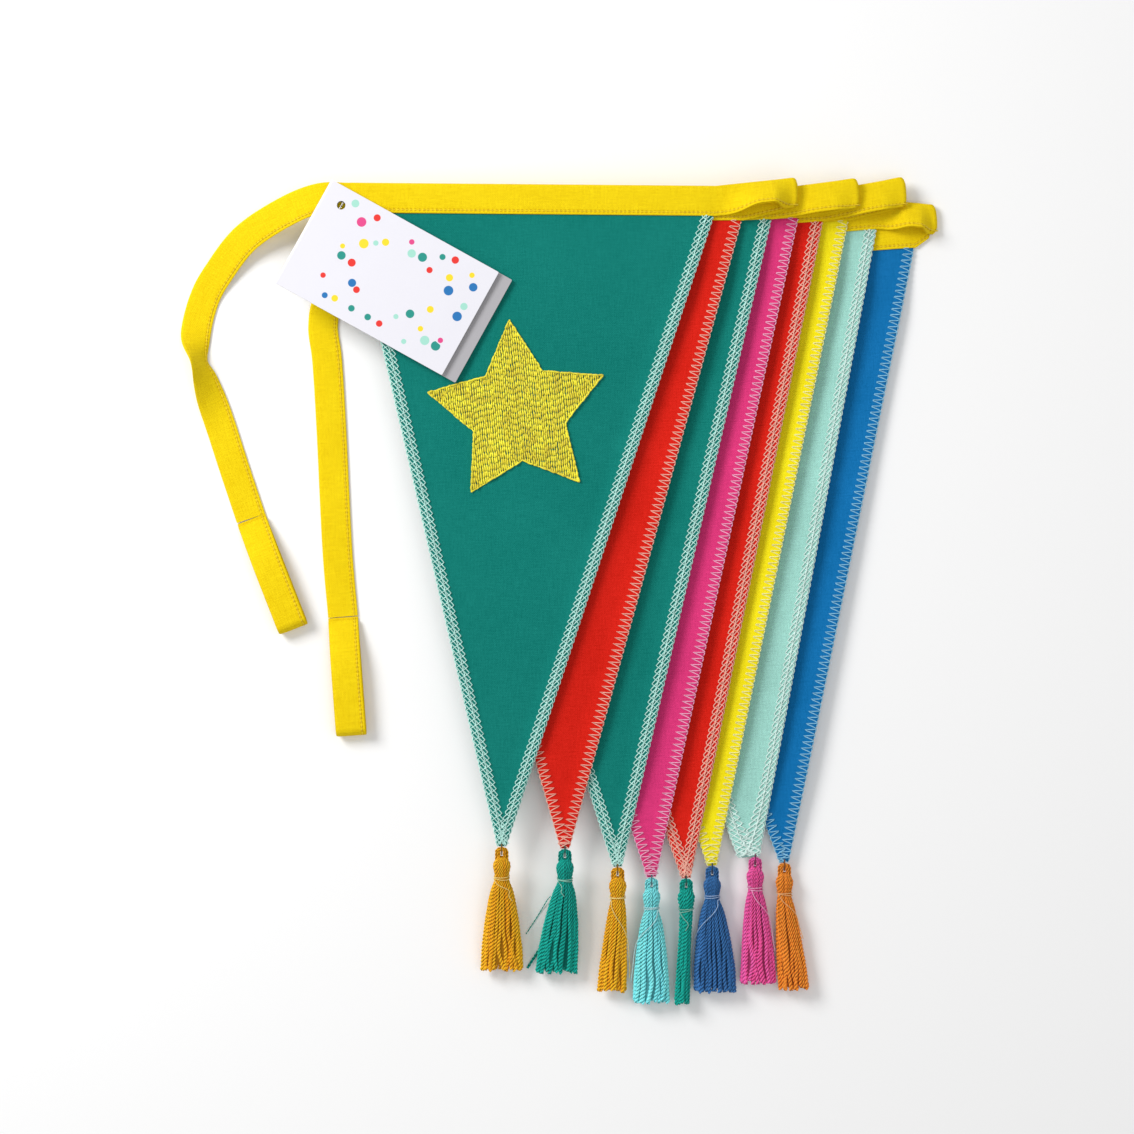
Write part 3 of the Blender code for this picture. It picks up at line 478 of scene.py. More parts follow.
def overlock_group():
    """Both seams of a pennant on both faces, from its top corners to its tip."""
    sockets = [("Stitch", "Float"), ("Width", "Float"), ("Thread", "Float"), ("Level", "Float")]
    sockets += [(f"{key} {side}", "Vector") for side in ("left", "right")
                for key in ("Start", "End", "Inward")]
    sockets += [("Front", "Float"), ("Material", "Material")]
    tree, inputs = group_tree("overlock", sockets)
    # Each row: the face, the reach across as shares of the width, stitches to a wave, the
    # share of it that goes out, phase, the heights at both ends in thread radii
    lattice = [(1, (0.0, 1.0), 4.0, 0.84, 0.25 * k, (0.4, 1.2)) for k in range(4)]
    rows = [
        *lattice,
        (1, (0.50, 0.56), 1.0, 0.5, 0.25, (1.9, 1.4)),
        (-1, (-0.05, 1.0), 1.0, 0.5, 0.30, (0.4, 1.1)),
        (0, (-0.05, 0.06), 1.0, 0.5, 0.00, (-0.9, 0.9)),
    ]
    parts = []
    for side in ("left", "right"):
        ends = [inputs[f"{key} {side}"] for key in ("Start", "End", "Inward")]
        for face, reach, stitches, out, phase, lift in rows:
            sign = maths(tree, "MULTIPLY", inputs["Front"], float(face or 1))
            level = maths(tree, "MULTIPLY", sign, inputs["Level"] if face else 0.0)
            raised = node(tree, "ShaderNodeCombineXYZ", {"Z": level}).outputs[0]
            start, end = [vectors(tree, "ADD", at, raised) for at in ends[:2]]
            tall = maths(tree, "MULTIPLY", sign, inputs["Thread"])
            wave = (stitches, out, phase)
            parts.append(thread_run(tree, inputs, (start, end, ends[2]), reach, wave, tall, lift))
    finish_group(tree, parts, inputs["Material"])
    return tree


def swing_wave(tree, length, period, out, phase):
    """A wave from 0 to 1 and back along a length, going out over a share of its period."""
    turns = maths(tree, "ADD", maths(tree, "DIVIDE", length, period), phase)
    share = maths(tree, "FRACT", turns)
    rising = maths(tree, "DIVIDE", share, out)
    falling = maths(tree, "DIVIDE", maths(tree, "SUBTRACT", 1.0, share), 1.0 - out)
    return maths(tree, "MINIMUM", rising, falling)


def tube_of(tree, curve, move, radius):
    """A thread's round tube along a curve whose points are first moved."""
    moved = node(tree, "GeometryNodeSetPosition", {"Geometry": curve, "Offset": move})
    ring = {"Resolution": THREAD_SIDES, "Radius": 1.0}
    circle = node(tree, "GeometryNodeCurvePrimitiveCircle", ring)
    tube = {"Curve": moved.outputs[0], "Profile Curve": circle.outputs[0],
            "Scale": radius, "Fill Caps": True}
    return node(tree, "GeometryNodeCurveToMesh", tube).outputs[0]


def resampled(tree, curve, step):
    fine = node(tree, "GeometryNodeResampleCurve", {"Curve": curve}, mode="LENGTH")
    tree.links.new(step, fine.inputs["Length"])
    return fine.outputs[0], node(tree, "GeometryNodeSplineParameter").outputs["Length"]


def thread_run(tree, inputs, route, reach, wave, tall, lift):
    """One thread down a seam, swinging across it and rising over the others."""
    start, end, inward = route
    line = node(tree, "GeometryNodeCurvePrimitiveLine", {"Start": start, "End": end})
    stitches, out, phase = wave
    steps = STEPS_A_STITCH / 2 if stitches > 1 else STEPS_A_STITCH
    step = maths(tree, "DIVIDE", inputs["Stitch"], float(steps))
    fine, length = resampled(tree, line.outputs[0], step)
    period = maths(tree, "MULTIPLY", inputs["Stitch"], stitches)
    swing = swing_wave(tree, length, period, out, phase)
    loop = maths(tree, "POWER", swing, 1.0 if stitches > 1 else 1.6)
    aside = maths(tree, "MULTIPLY_ADD", loop, reach[1] - reach[0], reach[0])
    aside = maths(tree, "MULTIPLY", aside, inputs["Width"])
    rise = maths(tree, "MULTIPLY_ADD", swing, lift[1] - lift[0], lift[0])
    up = node(tree, "ShaderNodeCombineXYZ", {"Z": maths(tree, "MULTIPLY", rise, tall)})
    move = vectors(tree, "ADD", vectors(tree, "SCALE", inward, scale=aside), up.outputs[0])
    return tube_of(tree, fine, move, inputs["Thread"])


def thread_material(name, colour, lay=0.0011, roughness=0.62):
    """Twisted sewing thread or yarn: fine slanting plies and a soft sheen."""
    made, tree, shader = blank_material(
        name, Roughness=roughness, Specular_IOR_Level=0.3, Sheen_Weight=0.3, Sheen_Roughness=0.4)
    at = node(tree, "ShaderNodeTexCoord").outputs["Object"]
    fibres = noise(tree, at, 1.0 / lay, 3.0)
    paint = dyed(tree, fibres, colour, (0.30, 0.70), 0.74, 1.12)
    surface(tree, shader, paint, fibres, 0.0001, 0.5)
    return made


def make_overlock(leg, tree):
    height, swing = LEGS[leg][3:5]
    reach = height - TIP_INSET
    tip_x = swing * reach / height
    values = {
        "Stitch": STITCH,
        "Width": STITCH_WIDTH,
        "Thread": THREAD,
        "Level": RIM / 2,
        "Front": 1.0 if leg % 2 else -1.0,
        "Material": thread_material(f"overlock_{leg}", THREAD_COLOURS[leg]),
    }
    for side, sign in (("left", -1), ("right", 1)):
        start = Vector((sign * half_width(leg, 0.0), SEAM_START, 0.0))
        end = Vector((tip_x + sign * TIP_HALF_WIDTH, -reach, 0.0))
        along = (end - start).normalized()
        inward = Vector((along.y, -along.x, 0.0)) * sign
        values[f"Start {side}"], values[f"End {side}"] = start, end
        values[f"Inward {side}"] = inward
    mesh = grown(f"overlock_thread_{leg}", tree, values)
    settle(mesh, leg)
    piece = new_object(f"overlock_thread_{leg}", mesh)
    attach(piece, f"leg_{leg}")


overlock = overlock_group()
for each in LEGS:
    make_overlock(each, overlock)


# The tape, its folds and its two ties
# One length of yellow double-fold cotton tape: a strip folded over along its middle, with
# its open edge down. A line of running stitches closes it all along. It holds the pennants,
# turns back on itself between them, and runs out at both ends as a tie.
TAPE_WIDTH = 0.0120
BOUND, FREE = 1.0, 0.47
BOUND_REACH = PENNANT_WIDTH / 2 + 0.0010
SEAM_FROM_EDGE = 0.0014
SEAM_LEVEL = 0.00080
RUNNING_STITCH = 0.0017
TAPE_THREAD = 0.00020
TABLE_GAP = 0.00001
SHARP = math.radians(60.0)
UPWARD = np.array([0.0, 0.0, 1.0])
# How far apart the tape's front and back lie on its flat pattern
BACK_SHIFT = 0.03
# The colour of the painted shade in the dips between the tape's running stitches
PAINTED_HOLE_SHADE = (0.62, 0.45, 0.30, 1.0)
# The folded tape's outer half section, in millimetres from the open edge to the fold: the
# seam presses it in near its open edge
SECTION = [(0.04, 0.50), (0.0, 0.64), (0.10, 0.83), (0.5, 0.95), (1.0, 0.90), (1.4, 0.74),
           (1.8, 0.90), (2.6, 0.97), (4.5, 0.93), (7.0, 0.96), (9.5, 0.94), (11.1, 0.80),
           (11.8, 0.46), (12.0, 0.0)]
SLOT = [(0.3, 0.46), (5.0, 0.48), (10.0, 0.46), (10.5, 0.25), (10.6, 0.0)]


def needle_hole_shade(tree, paint, apart):
    """Paint shade into the cloth in the dips between the tape's running stitches."""
    across = maths(tree, "MODULO", apart[0], BACK_SHIFT)
    off = maths(tree, "ABSOLUTE", maths(tree, "SUBTRACT", across, SEAM_FROM_EDGE))
    near = node(tree, "ShaderNodeMapRange", {0: off, 1: 0.00075, 2: 0.00015}).outputs[0]
    along = maths(tree, "FRACT", maths(tree, "DIVIDE", apart[1], RUNNING_STITCH))
    off = maths(tree, "ABSOLUTE", maths(tree, "SUBTRACT", along, 0.5))
    hole = node(tree, "ShaderNodeMapRange", {0: off, 1: 0.34, 2: 0.10}).outputs[0]
    dip = maths(tree, "MULTIPLY", near, hole)
    return mixed(tree, dip, paint, PAINTED_HOLE_SHADE, "MULTIPLY")


def tape_section():
    """The whole section round: down the front, up the back and round the slot inside."""
    back = [(y, -z) for y, z in SECTION[-2::-1]]
    slot = [(y, -z) for y, z in SLOT] + SLOT[-2::-1]
    return np.array(SECTION + back + slot) * 0.001


def smooth_route(points, steps):
    """A smooth curve through rows of numbers."""
    rows = np.array(points, float)
    rows = np.concatenate([[2 * rows[0] - rows[1]], rows, [2 * rows[-1] - rows[-2]]])
    route = []
    for a, b, c, d in zip(rows, rows[1:], rows[2:], rows[3:]):
        for t in np.arange(steps) / steps:
            bend = (-a + 3 * b - 3 * c + d) * t**3 + (2 * a - 5 * b + 4 * c - d) * t**2
            route.append((bend + (c - a) * t + 2 * b) / 2)
    return np.array(route + [rows[-2]])


def unit(rows):
    return rows / np.linalg.norm(rows, axis=-1, keepdims=True)


def face_outward(mesh, merge=0.0):
    """Turn a closed mesh's faces outward, once its doubles within a distance are merged."""
    form = bmesh.new()
    form.from_mesh(mesh)
    if merge:
        bmesh.ops.remove_doubles(form, verts=form.verts, dist=merge)
    bmesh.ops.recalc_face_normals(form, faces=form.faces)
    form.to_mesh(mesh)
    form.free()


def sweep(name, low, high, thick, side, material, pull=None):
    """Tape between a line of its open edge and a line of its fold, at each station.

    A pull at a station draws the tape's two corners that way, to round off a turned end.
    """
    across = unit(high - low)
    along = unit(np.gradient(low + high, axis=0))
    normal = unit(np.cross(along, across)) * side
    section = tape_section()
    wide = section[None, :, 0, None] * across[:, None, :]
    deep = section[None, :, 1, None] * normal[:, None, :] * np.asarray(thick)[:, None, None]
    loops = low[:, None, :] + wide + deep
    if pull is not None:
        share = 2 * section[:, 0] / TAPE_WIDTH - 1
        corner = share**4 * np.where(share < 0, 1.0, 0.55)
        loops += pull[:, None, :] * corner[None, :, None]
    stations, count = loops.shape[:2]
    index = np.arange(stations * count).reshape(stations, count)
    after = np.roll(index, -1, axis=1)
    quads = [index[:-1], after[:-1], after[1:], index[1:]]
    faces = np.stack(quads, -1).reshape(-1, 4).tolist()
    faces += [index[0].tolist(), index[-1, ::-1].tolist()]
    mesh = bpy.data.meshes.new(name)
    mesh.from_pydata(loops.reshape(-1, 3).tolist(), [], faces)
    travelled = np.linalg.norm(np.diff(low + high, axis=0) / 2, axis=1)
    v = np.concatenate([[0.0], np.cumsum(travelled)])
    u = section[:, 0] + np.where(section[:, 1] < 0, BACK_SHIFT, 0.0)
    uv = np.stack(np.broadcast_arrays(u[None, :], v[:, None]), -1).reshape(-1, 2)
    map_cut(mesh, uv)
    mesh.materials.append(material)
    face_outward(mesh)
    mesh.polygons.foreach_set("use_smooth", [True] * len(mesh.polygons))
    mesh.set_sharp_from_angle(angle=SHARP)
    seams = []
    for face in (1, -1):
        height = face * SEAM_LEVEL * np.asarray(thick)[:, None]
        seams.append((low + across * SEAM_FROM_EDGE + normal * height, normal * face))
    return mesh, seams


def wire_mesh(name, lines, **attributes):
    """Routes as bare edges, with a vector or a number kept at each point."""
    points = np.concatenate(lines)
    ends = np.cumsum([len(line) for line in lines])
    edges = [(i, i + 1) for i in range(len(points) - 1) if i + 1 not in ends]
    mesh = bpy.data.meshes.new(name)
    mesh.from_pydata(points.tolist(), edges, [])
    for key, values in attributes.items():
        values = np.concatenate(values)
        kind, field = ("FLOAT_VECTOR", "vector") if values.ndim == 2 else ("FLOAT", "value")
        layer = mesh.attributes.new(key, kind, "POINT")
        layer.data.foreach_set(field, values.astype(np.float32).ravel())
    return mesh


def recalled(tree, name, kind="FLOAT"):
    """What is kept at each point under a name."""
    return node(tree, "GeometryNodeInputNamedAttribute", {"Name": name}, data_type=kind).outputs[0]


def running_stitch_group():
    """A thread that rises over the cloth for each stitch and dips into it between."""
    sockets = [("Geometry", "Geometry"), ("Stitch", "Float"), ("Thread", "Float")]
    tree, inputs = group_tree("running_stitch", sockets + [("Material", "Material")])
    curve = node(tree, "GeometryNodeMeshToCurve", {"Mesh": inputs["Geometry"]}).outputs[0]
    step = maths(tree, "DIVIDE", inputs["Stitch"], float(STEPS_A_STITCH))
    fine, length = resampled(tree, curve, step)
    swing = swing_wave(tree, length, inputs["Stitch"], 0.5, 0.0)
    hump = maths(tree, "MINIMUM", maths(tree, "MULTIPLY", swing, 3.0), 1.0)
    rise = maths(tree, "MULTIPLY", maths(tree, "MULTIPLY_ADD", hump, 1.6, -1.2), inputs["Thread"])
    move = vectors(tree, "SCALE", recalled(tree, "up", "FLOAT_VECTOR"), scale=rise)
    finish_group(tree, [tube_of(tree, fine, move, inputs["Thread"])], inputs["Material"])
    return tree


def joined(name, *meshes):
    """Several meshes as one, each with its own materials."""
    made, form = bpy.data.meshes.new(name), bmesh.new()
    for mesh in meshes:
        shift = len(made.materials)
        for material in mesh.materials:
            made.materials.append(material)
        for face in mesh.polygons:
            face.material_index += shift
        form.from_mesh(mesh)
    form.to_mesh(made)
    form.free()
    return made


running_stitch = running_stitch_group()
tape_cotton = cloth_material("tape_cotton", (1.0, 0.66, 0.0), fuzz=0.1, stitch_shade=True)
tape_thread = thread_material("tape_thread", (1.0, 0.70, 0.01))


def tape_piece(name, low, high, thick, side, more=(), pull=None):
    """A stretch of tape with its stitches, flat where it lies on the table.

    more has further rows of stitches on it.
    """
    mesh, seams = sweep(name, low, high, thick, side, tape_cotton, pull)
    seams += list(more)
    routes = wire_mesh(name, [line for line, _ in seams], up=[up for _, up in seams])
    values = {"Stitch": RUNNING_STITCH, "Thread": TAPE_THREAD, "Material": tape_thread}
    thread = grown(f"{name}_thread", running_stitch, values, routes)
    mesh = joined(name, mesh, thread)
    points = points_of(mesh)
    points[:, 2] = np.maximum(points[:, 2], TABLE_GAP)
    put_points(mesh, points)
    length = float(np.linalg.norm(np.diff((low + high) / 2, axis=0), axis=1).sum())
    return new_object(name, mesh), length


def declare_tape(node_name):
    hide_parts(node_name)


def make_binding(leg):
    """The tape over a pennant's top edge. It thins to the free tape at both ends."""
    x = np.linspace(-BOUND_REACH, BOUND_REACH, 80)
    place = np.array(leg_matrix(leg))
    flat = np.stack([x, 0 * x, 0 * x], 1)
    low = carried(flat, place)
    high = low + place[:3, 1] * TAPE_WIDTH
    thick = FREE + (BOUND - FREE) * smooth(BOUND_REACH, BOUND_REACH - 0.006, np.abs(x))
    piece, length = tape_piece(f"binding_{leg}", low, high, thick, 1)
    declare_tape(f"binding_tape_{leg}")
    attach(piece, f"leg_{leg}")


for each in LEGS:
    make_binding(each)

# Where the tape turns back under each leg: the middle of the crease, the crease's direction
# up the tape, and how far the upper ply stands up on its fold, in degrees
FOLDS = {
    1: ((0.094302, 0.158089, 0.014635), (0.0026, 0.9999, 0.0), 38.0),
    2: ((-0.093240, 0.151253, 0.012454), (-0.0236, 0.9997, 0.0), 5.0),
    3: ((0.119145, 0.158343, 0.010374), (-0.0506, 0.9987, 0.0), 13.0),
    4: ((-0.071269, 0.143657, 0.008240), (-0.0645, 0.9979, 0.0), 5.0),
    5: ((0.138387, 0.159355, 0.006108), (-0.0698, 0.9976, 0.0), 12.0),
    6: ((-0.050016, 0.140112, 0.004106), (-0.0776, 0.9970, 0.0), 5.0),
    7: ((0.151167, 0.148974, 0.001946), (-0.0793, 0.9968, 0.0), 30.0),
}
TURN_STEPS, FRONT_STEPS, BACK_STEPS = 12, 36, 30
FOLD_ROUNDING = 0.0020
# The radius of a crease's bend, and how far over and under it the change of shape reaches
FOLD_BEND = 0.00105


def make_fold(leg):
    """The free tape from a leg, out to the crease and back to the leg below it.

    The upper ply goes with its own leg.
    """
    (cx, cy, cz), way, stand = FOLDS[leg]
    side = 1 if cx > 0 else -1
    ends = []
    for at in (leg, leg + 1):
        place = np.array(leg_matrix(at))
        edge = place[:3, 3] + place[:3, 0] * side * BOUND_REACH
        ends.append((edge, edge + place[:3, 1] * TAPE_WIDTH))
    crease, way = np.array([cx, cy, cz]), np.array(way)
    fold_low, fold_high = crease - way * TAPE_WIDTH / 2, crease + way * TAPE_WIDTH / 2
    inset = np.array([-0.8 * side * FOLD_BEND, 0.0, 0.0])
    up = UPWARD * FOLD_BEND
    s = np.linspace(0.0, 1.0, FRONT_STEPS)[:, None]
    (low_a, high_a), (low_b, high_b) = ends
    front_high = high_a + (fold_high + inset + up - high_a) * s
    front_low = low_a + (fold_low + inset + up - low_a) * s
    roll = math.radians(stand) * smooth(0.08, 0.58, s) * (1.0 - smooth(0.72, 1.0, s))
    down = unit(front_low - front_high)
    front_low = front_high + TAPE_WIDTH * (down * np.cos(roll) + UPWARD * np.sin(roll))
    turn = np.radians(np.linspace(90.0, -90.0, TURN_STEPS + 1)[:-1])[:, None]
    out = np.array([side, 0.0, 0.0])
    round_it = FOLD_BEND * (out * np.cos(turn) + UPWARD * np.sin(turn))
    back = np.linspace(0.0, 1.0, BACK_STEPS)[:, None]
    back_high = fold_high + inset - up + (high_b - (fold_high + inset - up)) * back
    back_low = fold_low + inset - up + (low_b - (fold_low + inset - up)) * back
    low = np.concatenate([fold_low + inset + round_it, back_low])
    high = np.concatenate([fold_high + inset + round_it, back_high])
    pull = np.concatenate([1.0 + 0 * turn, smooth(0.30, 0.0, back)]) * out * -FOLD_ROUNDING
    name = f"tape_fold_{leg}_{leg + 1}"
    thick = np.full(len(low), FREE)
    piece, length = tape_piece(name, low, high, thick, side, pull=pull)
    declare_tape(f"spacing_tape_{leg}_{leg + 1}")
    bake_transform(piece)
    thick = np.full(len(front_low), FREE)
    pull = smooth(0.72, 1.0, s) * out * -FOLD_ROUNDING
    name = f"tape_upper_ply_{leg}"
    ply, length = tape_piece(name, front_low, front_high, thick, side, pull=pull)
    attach(ply, f"leg_{leg}")
    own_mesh(ply)


for each in FOLDS:
    make_fold(each)

# The ties' routes from the outermost pennants to their stitched ends: the middle of the
# tape and its roll in degrees. The first stands on its edge for a short way.
LIE = 0.00054
TIE_ROUTES = {
    1: [(-0.08371, 0.15612, 0.01568, 0), (-0.09564, 0.15590, 0.01522, 0),
        (-0.10973, 0.15091, 0.01053, 0), (-0.12599, 0.14094, 0.00508, 0),
        (-0.13726, 0.12707, 0.00175, 0), (-0.14290, 0.11688, LIE, 0),
        (-0.14615, 0.10365, LIE, 12), (-0.14615, 0.09194, LIE, 62),
        (-0.14268, 0.08349, LIE, 40), (-0.13748, 0.06972, LIE, 6),
        (-0.13098, 0.04967, LIE, 0), (-0.12404, 0.02886, LIE, 0)],
    2: [(-0.00259, 0.13325, 0.00109, 0), (-0.02473, 0.13159, 0.00082, 0),
        (-0.04854, 0.12827, 0.00065, 0), (-0.06847, 0.12522, LIE, 0),
        (-0.08342, 0.12273, LIE, 0), (-0.09255, 0.11692, LIE, 0),
        (-0.09504, 0.10612, LIE, 0), (-0.09338, 0.09201, LIE, 0),
        (-0.09172, 0.06516, LIE, 0), (-0.08937, 0.01727, LIE, 0),
        (-0.08701, -0.01069, LIE, 0)],
}


def make_tie(number, leg):
    """A free end of the tape. Its open edge stays on the table where it rolls."""
    place = np.array(leg_matrix(leg))
    begin = place[:3, 3] - place[:3, 0] * BOUND_REACH + place[:3, 1] * TAPE_WIDTH / 2
    route = smooth_route([(*begin, 0.0), *TIE_ROUTES[number][1:]], 10)
    centre, roll = route[:, :3], np.radians(np.maximum(route[:, 3:], 0.0))
    along = unit(np.gradient(centre, axis=0) * (1.0, 1.0, 0.0))
    flat = np.stack([along[:, 1], -along[:, 0], along[:, 2]], 1)
    across = flat * np.cos(roll) + UPWARD * np.sin(roll)
    low = centre - flat * (TAPE_WIDTH / 2) * (1.0 if number == 2 else np.cos(roll) ** 0.4)
    high = low + across * TAPE_WIDTH
    name = f"tie_tape_{number}"
    piece, length = tape_piece(name, low, high, np.full(len(low), FREE), -1)
    declare_tape(f"tie_{number}")
    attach(piece, f"leg_{leg}")
    return low[-1], high[-1]


# Each tie's end is turned back over itself for 45 mm and stitched down across its cut end,
# which leaves a loop to hang the garland by
LOOP_FRAMES = {
    1: ((-0.12393, 0.02858, LIE), (0.36414, -0.93135, 0.0)),
    2: ((-0.08699, -0.01099, LIE), (0.07501, -0.99718, 0.0)),
}
LOOP_BEND = 0.00295
LOOP_TURN_AT = 0.0476 - LOOP_BEND - 0.00045
LOOP_UPPER = [(0.42, 1.00), (0.62, 0.90), (0.78, 0.55), (0.90, 0.20), (0.97, 0.00)]
LOOP_CLOSED = 0.0012
# The seam that closes a loop: how far from the cut end it runs, how far over and under the
# tape's middle it lies, and its points
CLOSING_SEAM, SEAM_LIFT, SEAM_POINTS = 0.0042, 0.00043, 12


def make_hanging_loop(number, leg):
    at, way = (np.array(v) for v in LOOP_FRAMES[number])
    turn = np.radians(np.linspace(-90.0, 90.0, 17))
    rows = [(LOOP_TURN_AT * s, 0.0) for s in np.linspace(0.0, 1.0, 14)[:-1]]
    rows += [
        (LOOP_TURN_AT + LOOP_BEND * math.cos(t), LOOP_BEND * (1 + math.sin(t))) for t in turn
    ]
    upper = [(LOOP_TURN_AT, 2 * LOOP_BEND)]
    upper += [
        (LOOP_TURN_AT * (1 - back), LOOP_CLOSED + (2 * LOOP_BEND - LOOP_CLOSED) * share)
        for back, share in LOOP_UPPER
    ]
    rows += smooth_route(upper, 6)[1:].tolist()
    rows = np.array(rows)
    left = -np.cross(UPWARD, way)
    centre = at + rows[:, :1] * way + rows[:, 1:] * UPWARD
    low, high = centre - left * TAPE_WIDTH / 2, centre + left * TAPE_WIDTH / 2
    shares = np.linspace(-0.46, 0.46, SEAM_POINTS)[:, None]
    over = at + way * CLOSING_SEAM + UPWARD * (LOOP_CLOSED + SEAM_LIFT)
    over = over + left * TAPE_WIDTH * shares
    under = over * (1, 1, 0) + UPWARD * (at[2] - SEAM_LIFT)
    raised = np.repeat(UPWARD[None], SEAM_POINTS, 0)
    more = [(over, raised), (under, -raised)]
    name = f"loop_tape_{number}"
    piece, length = tape_piece(name, low, high, np.full(len(low), FREE), -1, more)
    declare_tape(f"hanging_loop_{number}")
    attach(piece, f"leg_{leg}")


for number, leg in ((1, 1), (2, 8)):
    make_tie(number, leg)
    make_hanging_loop(number, leg)


# The embroidered star
# Machine embroidery on the top pennant: rows of yellow thread laid side by side, tied down
# every few millimetres, so that the teal cloth shows between them, and an outline round it.
STAR_MIDDLE = (-0.005026, -0.078745)
STAR_RADIUS, STAR_WAIST = 0.0370, 0.52
STAR_TURN = math.radians(6.0)
ROW_PITCH = 0.00086
ROW_THREAD = 0.00039
TIE_DOWN = 0.0024
ROW_LIFT = 0.0003
ROW_STRAY = 0.0009
STAR_YELLOW = (1.0, 0.82, 0.04)


def star_corners():
    """The star's ten corners about its middle, upright."""
    turns = np.radians(90.0 + 36.0 * np.arange(10))
    radii = STAR_RADIUS * np.where(np.arange(10) % 2, STAR_WAIST, 1.0)
    return np.stack([radii * np.cos(turns), radii * np.sin(turns)], 1)


def star_rows():
    """The rows' ends, where upright lines cross the outline."""
    corners = star_corners()
    lines = []
    for x in ROW_PITCH * (np.arange(-60, 60) + 0.25):
        cuts = []
        for a, b in zip(corners, np.roll(corners, -1, axis=0)):
            if (a[0] - x) * (b[0] - x) < 0:
                cuts.append(a[1] + (b[1] - a[1]) * (x - a[0]) / (b[0] - a[0]))
        cuts.sort()
        for low, high in zip(cuts[::2], cuts[1::2]):
            if high - low > 2 * ROW_THREAD:
                lines.append(np.array([(x, low, 0.0), (x, high, 0.0)]))
    return lines


def noted(tree, geometry, name, value, kind="FLOAT"):
    """The geometry with a value kept at each point under a name."""
    inputs = {"Geometry": geometry, "Name": name, "Value": value}
    return node(tree, "GeometryNodeStoreNamedAttribute", inputs, data_type=kind).outputs[0]


def filling_group():
    """Rows of thread that swell between the points where the needle ties them down."""
    sockets = [("Geometry", "Geometry"), ("Tie down", "Float"), ("Row", "Float"),
               ("Thread", "Float"), ("Unevenness", "Float"), ("Material", "Material")]
    tree, inputs = group_tree("filling_stitch", sockets)
    curve = node(tree, "GeometryNodeMeshToCurve", {"Mesh": inputs["Geometry"]}).outputs[0]
    step = maths(tree, "DIVIDE", inputs["Tie down"], 6.0)
    fine, _ = resampled(tree, curve, step)
    at = node(tree, "GeometryNodeInputPosition").outputs[0]
    apart = node(tree, "ShaderNodeSeparateXYZ", {0: at})
    loose = node(tree, "ShaderNodeTexNoise", {"Vector": at, "Scale": 420.0, "Detail": 1.0})
    early = maths(tree, "MULTIPLY", loose.outputs["Fac"], inputs["Unevenness"])
    row = maths(tree, "ROUND", maths(tree, "DIVIDE", apart.outputs[0], inputs["Row"]))
    wild = maths(tree, "SINE", maths(tree, "MULTIPLY", row, 12.9898))
    chance = maths(tree, "FRACT", maths(tree, "MULTIPLY", wild, 437.5))
    shift = maths(tree, "MULTIPLY", chance, inputs["Tie down"])
    along = maths(tree, "ADD", maths(tree, "ADD", apart.outputs[1], 1.0), early)
    along = maths(tree, "ADD", along, shift)
    swing = swing_wave(tree, along, inputs["Tie down"], 0.5, 0.0)
    hump = maths(tree, "MINIMUM", maths(tree, "MULTIPLY", swing, 2.4), 1.0)
    fine = noted(tree, fine, "swell", hump)
    swell, thread = recalled(tree, "swell"), inputs["Thread"]
    rise = maths(tree, "MULTIPLY", maths(tree, "MULTIPLY_ADD", swell, 1.6, -1.0), thread)
    size = maths(tree, "MULTIPLY", maths(tree, "MULTIPLY_ADD", swell, 0.46, 0.54), thread)
    stray = vectors(tree, "SUBTRACT", loose.outputs["Color"], (0.5, 0.5, 0.5))
    stray = vectors(tree, "SCALE", stray, scale=inputs["Unevenness"])
    up = node(tree, "ShaderNodeCombineXYZ", {"Z": rise}).outputs[0]
    tube = tube_of(tree, fine, vectors(tree, "ADD", stray, up), size)
    finish_group(tree, [tube], inputs["Material"])
    return tree


def make_star():
    corners = star_corners() * (1.0 - 0.6 * ROW_THREAD / STAR_RADIUS)
    ring = np.concatenate([corners, corners[:1]])
    outline = np.concatenate([ring, np.zeros((11, 1))], 1)
    outlines = [outline + (0.0, 0.0, ROW_THREAD * 0.6)]
    base = wire_mesh("star_rows", star_rows() + outlines)
    shiny = thread_material("star_thread", STAR_YELLOW, lay=0.0035, roughness=0.4)
    values = {"Tie down": TIE_DOWN, "Row": ROW_PITCH, "Thread": ROW_THREAD,
              "Unevenness": ROW_STRAY, "Material": shiny}
    mesh = grown("star_stitches", filling_group(), values, base)
    lift = CLOTH / 2 + ROW_LIFT
    turned = Matrix.Rotation(STAR_TURN, 4, "Z")
    mesh.transform(Matrix.Translation((*STAR_MIDDLE, lift)) @ turned)
    settle(mesh, 1, curled=False)
    piece = new_object("star_stitches", mesh)
    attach(piece, "leg_1")
    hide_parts("embroidered_star")


make_star()


# The thread loops at the pennants' tips
# Two strands of thread twisted together, through a hole in the tip and round the bar of the
# tassel's eye. Their dark colour is painted shade, for where they lie deep in the eye.
TIP_LOOP_RADIUS = 0.0022
TIP_LOOP_THREAD = 0.00020
FINE_LAY = 0.0012
# Of each ply: how far its middle lies from the yarn's, and its radius, as shares of the yarn's
PLY_OFFSET, PLY_RADIUS = 0.50, 0.52


